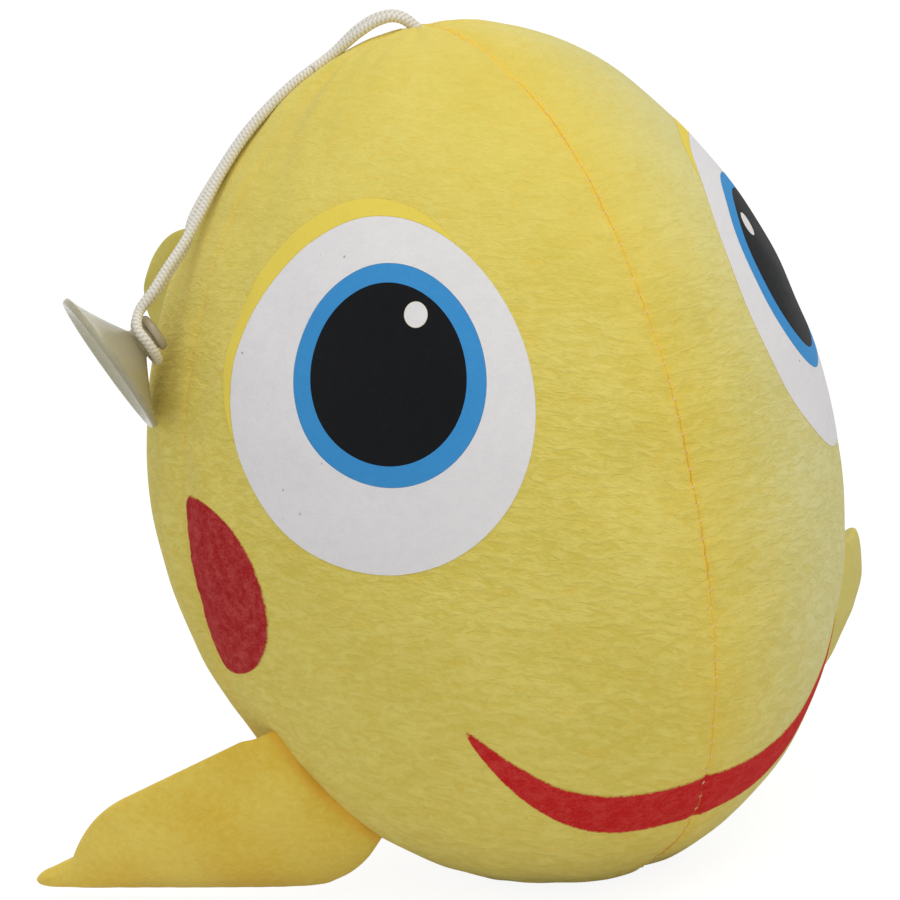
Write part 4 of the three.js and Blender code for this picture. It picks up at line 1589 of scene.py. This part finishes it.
@dataclass
class SideFin(Fin):
    """A side fin: straight above, round at its heel, with a narrow tongue for a tip."""

    out: Point = (0.0, 1.0, 0.0)
    length: float = 82.5
    rise: Pair = (1.7, 7.0)
    shoulder: float = 44.0
    tongue: float = 69.0
    fall: float = 7.9
    drop: Pair = (3.3, 14.0)
    heel: float = 17.0
    heel_round: float = 6.0
    taper: float = 0.5
    tip_round: float = 4.0
    bend: float = 0.0

    def edges(self, out: Array, root_length: float) -> tuple[Array, Array]:
        """Distances of the two edges below the root's top.

        The upper edge rises a little, then falls by the square of the way from shoulder to
        tongue; the lower edge drops by a quarter sine and bends into a straight taper; a
        quarter circle closes the tip.

        Args:
            out: Distance from the root.
            root_length: Length of the root.

        Returns:
            Upper and lower distances.
        """
        fall = np.clip((out - self.shoulder) / (self.tongue - self.shoulder), 0, 1)
        upper = self.fall * fall**2 - self.rise[0] * np.clip(out / self.rise[1], 0, 1)
        past = np.maximum(out - self.heel, 0)
        drop = self.drop[0] * np.sin(np.pi / 2 * np.clip(out / self.drop[1], 0, 1))
        lower = root_length + drop - self.taper * past**2 / (past + self.heel_round)
        end = np.clip((out - self.length) / self.tip_round + 1, 0, 1)
        half = (lower - upper) / 2 * np.sqrt(np.maximum(1 - end**2, 0.02))
        return (upper + lower) / 2 - half, (upper + lower) / 2 + half

    def middle(self, share: Array, across: Array) -> Array:
        """Surface between the two edges, bowed to the body at the root.

        From root to tip it follows an arc of the angle bend, whose reach outwards is the
        length by the sine over the angle, and backwards by one less the cosine over it.

        Args:
            share: From 0 at the root to 1 at the tip.
            across: From -1 at the upper edge to 1 at the lower edge.

        Returns:
            Points.
        """
        top, chord, root_length = self.root_chord()
        outward = unit(np.array(self.out))
        backward = unit(np.cross(outward, chord))
        out = share * self.length
        angle = np.maximum(self.bend * share, 1e-6)
        arc = outward * (out * np.sin(angle) / angle)[..., None]
        arc = arc + backward * (out * (1 - np.cos(angle)) / angle)[..., None]
        upper, lower = self.edges(out, root_length)
        below = (upper + lower + across * (lower - upper)) / 2
        straight = top + chord * (root_length * (1 + across) / 2)[..., None]
        bow = (self.sewn_on(share, across) - straight) * ((1 - share) ** 2)[..., None]
        return top + chord * below[..., None] + arc + bow


@dataclass
class TailFin(Fin):
    """The tail: it swells between its root and a broad round tip."""

    tip: Point = (-15.5, 141.0, 108.5)
    tip_width: float = 30.0
    bulge: float = 8.0
    rounding: float = 0.06
    round_from: float = 0.7

    def middle(self, share: Array, across: Array) -> Array:
        """The spread tail, drawn in to its own middle line by a quarter ellipse at the tip.

        Args:
            share: From 0 at the root to 1 at the tip.
            across: From -1 at the upper edge to 1 at the lower edge.

        Returns:
            Points.
        """
        end = np.clip((share - self.round_from) / (1 - self.round_from), 0, 1)
        narrow = np.sqrt(np.maximum(1 - end**3, 4e-4))
        line = self.spread(share, 0 * across)
        return line + (self.spread(share, across) - line) * narrow[..., None]

    def spread(self, share: Array, across: Array) -> Array:
        """Straight lines from root to tip, with edges that bulge by a sine and round corners.

        Args:
            share: From 0 at the root to 1 at the tip.
            across: From -1 at the upper edge to 1 at the lower edge.

        Returns:
            Points.
        """
        _, chord, _ = self.root_chord()
        reach = share * (1 - self.rounding * across**2 * share)
        end = np.array(self.tip) + chord * (across * self.tip_width / 2)[..., None]
        start = self.sewn_on(share, across)
        straight = start + (end - start) * reach[..., None]
        return straight + chord * (across * self.bulge * np.sin(np.pi * reach**0.6))[..., None]


LOOP_ROUTE = np.array([
    [-1.3, 19.6, 183.9], [-3.4, 20.8, 184.9], [-6.2, 22.6, 184.6], [-9.8, 24.8, 182.7],
    [-15.3, 28.3, 177.9], [-24.7, 30.8, 172.9], [-34.8, 32.6, 165.8], [-43.0, 32.7, 158.5],
    [-51.6, 31.7, 150.1], [-55.0, 30.3, 145.0], [-59.3, 29.7, 141.3], [-63.8, 29.5, 137.3],
    [-67.3, 32.5, 132.7], [-68.0, 33.4, 128.5], [-66.8, 32.3, 125.5], [-66.6, 29.5, 123.6],
    [-67.4, 26.1, 123.6], [-68.9, 23.7, 125.7], [-70.5, 23.4, 128.8], [-71.3, 25.2, 131.5],
    [-69.3, 27.6, 134.4], [-65.4, 27.3, 138.1], [-61.1, 27.6, 142.1], [-56.6, 28.2, 145.8],
    [-51.9, 29.0, 150.3], [-43.9, 30.3, 158.6], [-35.9, 30.2, 166.0], [-25.8, 28.5, 173.3],
    [-16.3, 26.0, 178.2], [-11.2, 22.0, 182.4], [-7.8, 19.8, 184.3], [-5.0, 18.0, 184.8],
    [-2.9, 16.8, 183.9],
])
"""Millimetre points of the cord's free loop, from the crown round the cup's neck and back."""


@dataclass
class CordLoop:
    """The white cord: from the knot out of the crown, round the cup's neck and back in."""

    wardrobe: Wardrobe
    diameter: float = 2.2
    crown: Point = (0.0, 17.0, 181.46)
    out: Point = (-0.612, 0.354, 0.707)
    apart: Point = (0.8, 1.386, 0.0)
    sewn_depths: tuple[float, ...] = (-15.0, -10.0, -5.0, 0.0)
    strands: int = 3
    plait_pitch: float = 2.8
    plait_depth: float = 0.07
    knot_size: float = 1.25
    bend_from: Point = (-0.9, 0.5, 1.0)
    bend_toward: Point = (-0.693, 0.4, 0.6)
    bend_length: float = 12.0
    reference: Point = (0.886, -0.21, 0.413)

    def hand_points(self) -> Array:
        """Points through which the cord is laid, from the knot to the knot.

        Returns:
            Points, in millimetres.
        """
        crown, out, apart = (np.array(v) for v in (self.crown, self.out, self.apart))
        depths = np.array(self.sewn_depths)[:, None]
        back, front = crown + apart + out * depths, crown - apart + out * depths[::-1]
        return np.concatenate([back, LOOP_ROUTE, front])

    def path(self, spacing: float = 0.2) -> Array:
        """Even points on a centripetal curve through the given points.

        Each stretch between two points is a cubic whose knots are spaced by the square root
        of the distance; the curve is then walked in equal steps.

        Args:
            spacing: Distance between points.

        Returns:
            Points in millimetres.
        """
        hand = self.hand_points()
        hand = np.concatenate([[2 * hand[0] - hand[1]], hand, [2 * hand[-1] - hand[-2]]])
        knot = totals(np.sqrt(step_lengths(hand)))
        fine = np.linspace(knot[1], knot[-2], 4000)
        first = np.clip(np.searchsorted(knot, fine, side="right") - 1, 1, len(hand) - 3)
        steps, at = (-1, 0, 1, 2), fine[:, None]
        times = [knot[first + step][:, None] for step in steps]
        curve = [hand[first + step] for step in steps]
        for span in (1, 2):
            curve = [between(*quad, at) for quad in zip(curve, curve[1:], times, times[span:])]
        line = between(*curve, times[1], times[2], at)
        walked = totals(step_lengths(line))
        even = np.linspace(0, walked[-1], int(walked[-1] / spacing) + 1)
        return np.stack([np.interp(even, walked, line[:, axis]) for axis in range(3)], axis=-1)

    def tube(self, path: Array, columns: int = 24) -> tuple[Array, Array]:
        """Braided tube round a path.

        Two sets of strands wind round in opposite senses. Each strand stands out by its rounded
        back, a raised cosine; the set that passes over counts for two thirds.

        Args:
            path: Even points.
            columns: Points round the cord.

        Returns:
            Points, and the height of the plait from 0 to 1.
        """
        tangent = unit(np.gradient(path, axis=0))
        beside = unit(np.cross(tangent, np.array(self.reference)))
        above = np.cross(tangent, beside)
        angle = full_turn(columns)
        walked = (np.arange(len(path)) * np.linalg.norm(path[1] - path[0]))[:, None]
        wind = self.strands * (2 * np.pi * walked / self.plait_pitch)
        right, left = np.cos(self.strands * angle + wind), np.cos(self.strands * angle - wind)
        plait = 0.5 + right / 3 + left / 6
        radius = self.diameter / 2 * (1 - self.plait_depth + self.plait_depth * plait)
        return rings(path, beside, above, radius, angle), plait

    def knot(self) -> Piece:
        """The knot under the crown: a cord drawn along a three-lobed closed line.

        Returns:
            The knot, riding on the plush.
        """
        low, high = (np.array(corner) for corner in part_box("cord_knot"))
        centre = (low + high) / 2 / MM
        angle = full_turn(160)
        x, y = np.sin(angle) + 2 * np.sin(2 * angle), np.cos(angle) - 2 * np.cos(2 * angle)
        line = centre + np.stack([x, y, -1.5 * np.sin(3 * angle)], axis=-1) * self.knot_size
        points, plait = self.tube(np.concatenate([line, line[:1]]), 16)
        piece = grid_object("crown_knot", points, closed=True, caps=True, values={"plait": plait})
        return dress(piece, self.wardrobe.cord, "plush", ("cord_knot",))

    def build(self, cup: Piece) -> list[Piece]:
        """Makes the cord with the cup on it, and its knot.

        Args:
            cup: The suction cup that hangs in the loop; not used.

        Returns:
            The cord and the knot.
        """
        path = self.path()
        points, plait = self.tube(path)
        cord = grid_object("cord", points, closed=True, caps=True, values={"plait": plait})
        dress(cord, self.wardrobe.cord, None, ("cord_loop", "cord_end_back", "cord_end_front"))
        start = (np.array(self.crown) + np.array(self.bend_from)) * MM
        end = start + self.bend_length * MM * np.array(self.bend_toward)
        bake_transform(cord)
        self.diameter * MM
        return [cord, self.knot()]


@dataclass
class SuctionCup:
    """The soft cup with its neck and head."""

    wardrobe: Wardrobe
    rim_centre: Point = (-77.3, 30.3, 124.2)
    axis: Point = (0.886, -0.21, 0.413)
    radius: float = 16.5
    rim_width: float = 1.6
    dish: float = 5.8
    dish_curve: float = 1.3
    flare: float = 1.25
    wall: float = 2.1
    lip: float = 1.4
    neck: Pair = (3.2, 3.2)
    head: Pair = (4.1, 2.0)
    columns: int = 96

    def profile(self) -> Array:
        """Radius and height from the middle of the hollow, over the rim, to the head.

        The hollow falls with the power dish_curve of the radius and the outside rises with
        the power flare; corners are cut twice at a quarter and three quarters.

        Returns:
            Pairs of radius and height, in millimetres.
        """
        share = np.linspace(0.002, 1, 26)
        hollow_edge = self.radius - self.rim_width
        hollow = np.stack([hollow_edge * share, self.dish * (1 - share**self.dish_curve)], axis=-1)
        rise = self.dish + self.wall - self.lip
        back = share[::-1]
        (neck, neck_length), (head, head_length) = self.neck, self.head
        outside = [neck + (self.radius - neck) * back, self.lip + rise * (1 - back) ** self.flare]
        outside = np.stack(outside, axis=-1)
        top = self.lip + rise + neck_length
        end = top + head_length
        stem = [
            [neck, top - 0.3], [neck, top], [head - 0.3, top], [head, top + 0.4],
            [head, end - 0.6], [head - 0.6, end], [1.2, end + 0.1], [0.02, end + 0.1],
        ]
        line = np.concatenate([hollow, [[self.radius - 0.2, 0.0]], outside, stem])
        for _ in range(2):
            near, far = line[:-1] * 0.75 + line[1:] * 0.25, line[:-1] * 0.25 + line[1:] * 0.75
            corners = np.stack([near, far], axis=1).reshape(-1, 2)
            line = np.concatenate([line[:1], corners, line[-1:]])
        return line

    def build(self) -> Piece:
        """Turns the profile round the cup's axis.

        Returns:
            The cup, riding on its own body.
        """
        axis = unit(np.array(self.axis))
        first = unit(np.cross(axis, np.array([0.0, 0.0, 1.0])))
        second = np.cross(axis, first)
        line = self.profile()
        angle = full_turn(self.columns)
        middle = np.array(self.rim_centre) + axis * line[:, 1:]
        points = rings(middle, first, second, line[:, :1], angle)
        rise = np.clip(line[:, 1:] / line[:, 1].max(), 0, 1) + 0 * angle
        piece = grid_object("soft_cup", points, closed=True, caps=True, values={"rise": rise})
        return dress(piece, self.wardrobe.cup, "cup", ("suction_cup",))


@dataclass
class Studio:
    """Camera, floor and soft light."""

    aim: Point = (0.0, 0.013177, 0.0895)
    up: Point = (0.249, 0.167, 0.954)
    back: Point = (-0.461, -0.846, 0.268)
    distance: float = 1.0
    lens: float = 184.7
    shift: Pair = (-0.0377, -0.0052)
    ambient: Colour = (0.495, 0.515, 0.545)
    warm: Colour = (1.0, 0.97, 0.92)
    floor_reach: float = 6000.0
    floor_drop: float = 0.25
    floor_tones: Pair = (0.8, 0.84)
    floor_seen: float = 0.22
    floor_glow: float = 0.9

    def camera(self) -> None:
        """Places the camera at the photograph's angle."""
        back = unit(np.array(self.back))
        right = unit(np.cross(np.array(self.up), back))
        up = np.cross(back, right)
        data = bpy.data.cameras.new("camera")
        data.sensor_fit, data.sensor_width, data.lens = "HORIZONTAL", 36.0, self.lens
        data.shift_x, data.shift_y = self.shift
        camera = bpy.data.objects.new("camera", data)
        stand(camera, right, up, back, np.array(self.aim) + back * self.distance)
        bpy.context.scene.camera = camera

    def lamp(self, name: str, place: Point, size: float, power: float) -> None:
        """Adds a square area lamp that faces the object.

        Args:
            name: Name of the lamp.
            place: Its place, in metres.
            size: Side of the square, in metres.
            power: Power in watts.
        """
        data = bpy.data.lights.new(name, "AREA")
        data.size, data.energy, data.color = size, power, self.warm
        lamp = bpy.data.objects.new(name, data)
        where = np.array(place)
        back = unit(where - np.array(self.aim))
        right = unit(np.cross(np.array([0.0, 0.0, 1.0]), back))
        stand(lamp, right, np.cross(back, right), back, where)

    def seen(self, graph: Graph) -> Socket:
        """1 for rays of the camera, of gloss and of clear pieces, else 0.

        Args:
            graph: Graph of a material or of the surroundings.

        Returns:
            The value.
        """
        kinds = ("Camera", "Glossy", "Transmission")
        rays = [graph.node("LightPath", output=f"Is {kind} Ray") for kind in kinds]
        return graph.math("MINIMUM", rays[0] + rays[1] + rays[2], 1.0)

    def floor(self) -> None:
        """A pale floor, almost white to the camera, that keeps the object's shadow."""
        reach = np.linspace(-self.floor_reach, self.floor_reach, 25)
        x, y = np.meshgrid(reach, reach)
        floor = grid_object("floor", np.stack([x, y, np.full_like(x, -self.floor_drop)], axis=-1))
        graph = Graph.material("floor_pale")
        grain = graph.noise((90.0, 90.0, 90.0))
        dull, pale = ((tone,) * 3 for tone in self.floor_tones)
        lit, seen = graph.mix(grain, dull, pale), self.seen(graph)
        graph.fill(graph.shader, {
            "Base Color": graph.mix(seen, lit, (self.floor_seen,) * 3),
            "Roughness": 1.0, "Specular IOR Level": 0.0, "Emission Strength": 1.0,
            "Emission Color": graph.mix(seen, (0.0, 0.0, 0.0), (self.floor_glow,) * 3),
        })
        floor.data.materials.append(graph.owner)

    def sky(self) -> None:
        """Even white surroundings: full white where they are seen, softer as light."""
        world = bpy.data.worlds.new("surroundings")
        bpy.context.scene.world = world
        graph = Graph(world, "Background")
        shade = graph.mix(self.seen(graph), self.ambient, (1.0, 1.0, 1.0))
        graph.fill(graph.shader, {"Color": shade, "Strength": 1.0})

    def build(self) -> None:
        """Sets the stage."""
        self.camera()
        self.floor()
        self.sky()
        self.lamp("key", (0.02, -0.85, 1.7), size=1.0, power=11.0)
        self.lamp("crown_light", (-0.2, 0.2, 1.5), size=0.8, power=2.5)
        bpy.context.scene.view_settings.view_transform = "Standard"


def main() -> None:
    """Builds the studio and every piece, and reports each one."""
    logging.basicConfig(level=logging.INFO, format="%(name)s: %(message)s")
    Studio().build()
    wardrobe = Wardrobe.stock()
    cup = SuctionCup(wardrobe).build()
    pieces = [cup, *CordLoop(wardrobe).build(cup)]
    skin = PlushSkin()
    skin.swell = Filling().settle(skin)
    LOG.info("swell from %.2f to %.2f mm", skin.swell.min(), skin.swell.max())
    pieces += Body(skin, wardrobe).build()
    pieces += FacePrints(skin, wardrobe).build()
    side_root, tail_root = (119.0, 143.0), (72.0, 92.0)
    # The far fin and the tail wear the darker copy of the suede: painted shade.
    suede, shaded_suede = wardrobe.suede, wardrobe.suede_lemon
    right_cloths, left_cloths = (
        (f"{side.word}_fin_front", f"{side.word}_fin_back") for side in Side
    )
    fins = (
        SideFin(
            skin, wardrobe, suede, "right_fin", right_cloths, 84.0, side_root,
            out=(-0.416, 0.806, -0.414),
        ),
        SideFin(
            skin, wardrobe, shaded_suede, "left_fin", left_cloths, -84.0, side_root,
            out=(0.922, 0.346, -0.174), bend=math.radians(57.0),
        ),
        TailFin(skin, wardrobe, shaded_suede, "tail", ("tail_right", "tail_left"), 180.0, tail_root),
    )
    for fin in fins:
        pieces += fin.build()
    for piece in pieces:
        LOG.info("%s: %d faces", piece.name, len(piece.data.polygons))


if __name__ == "__main__":
    main()
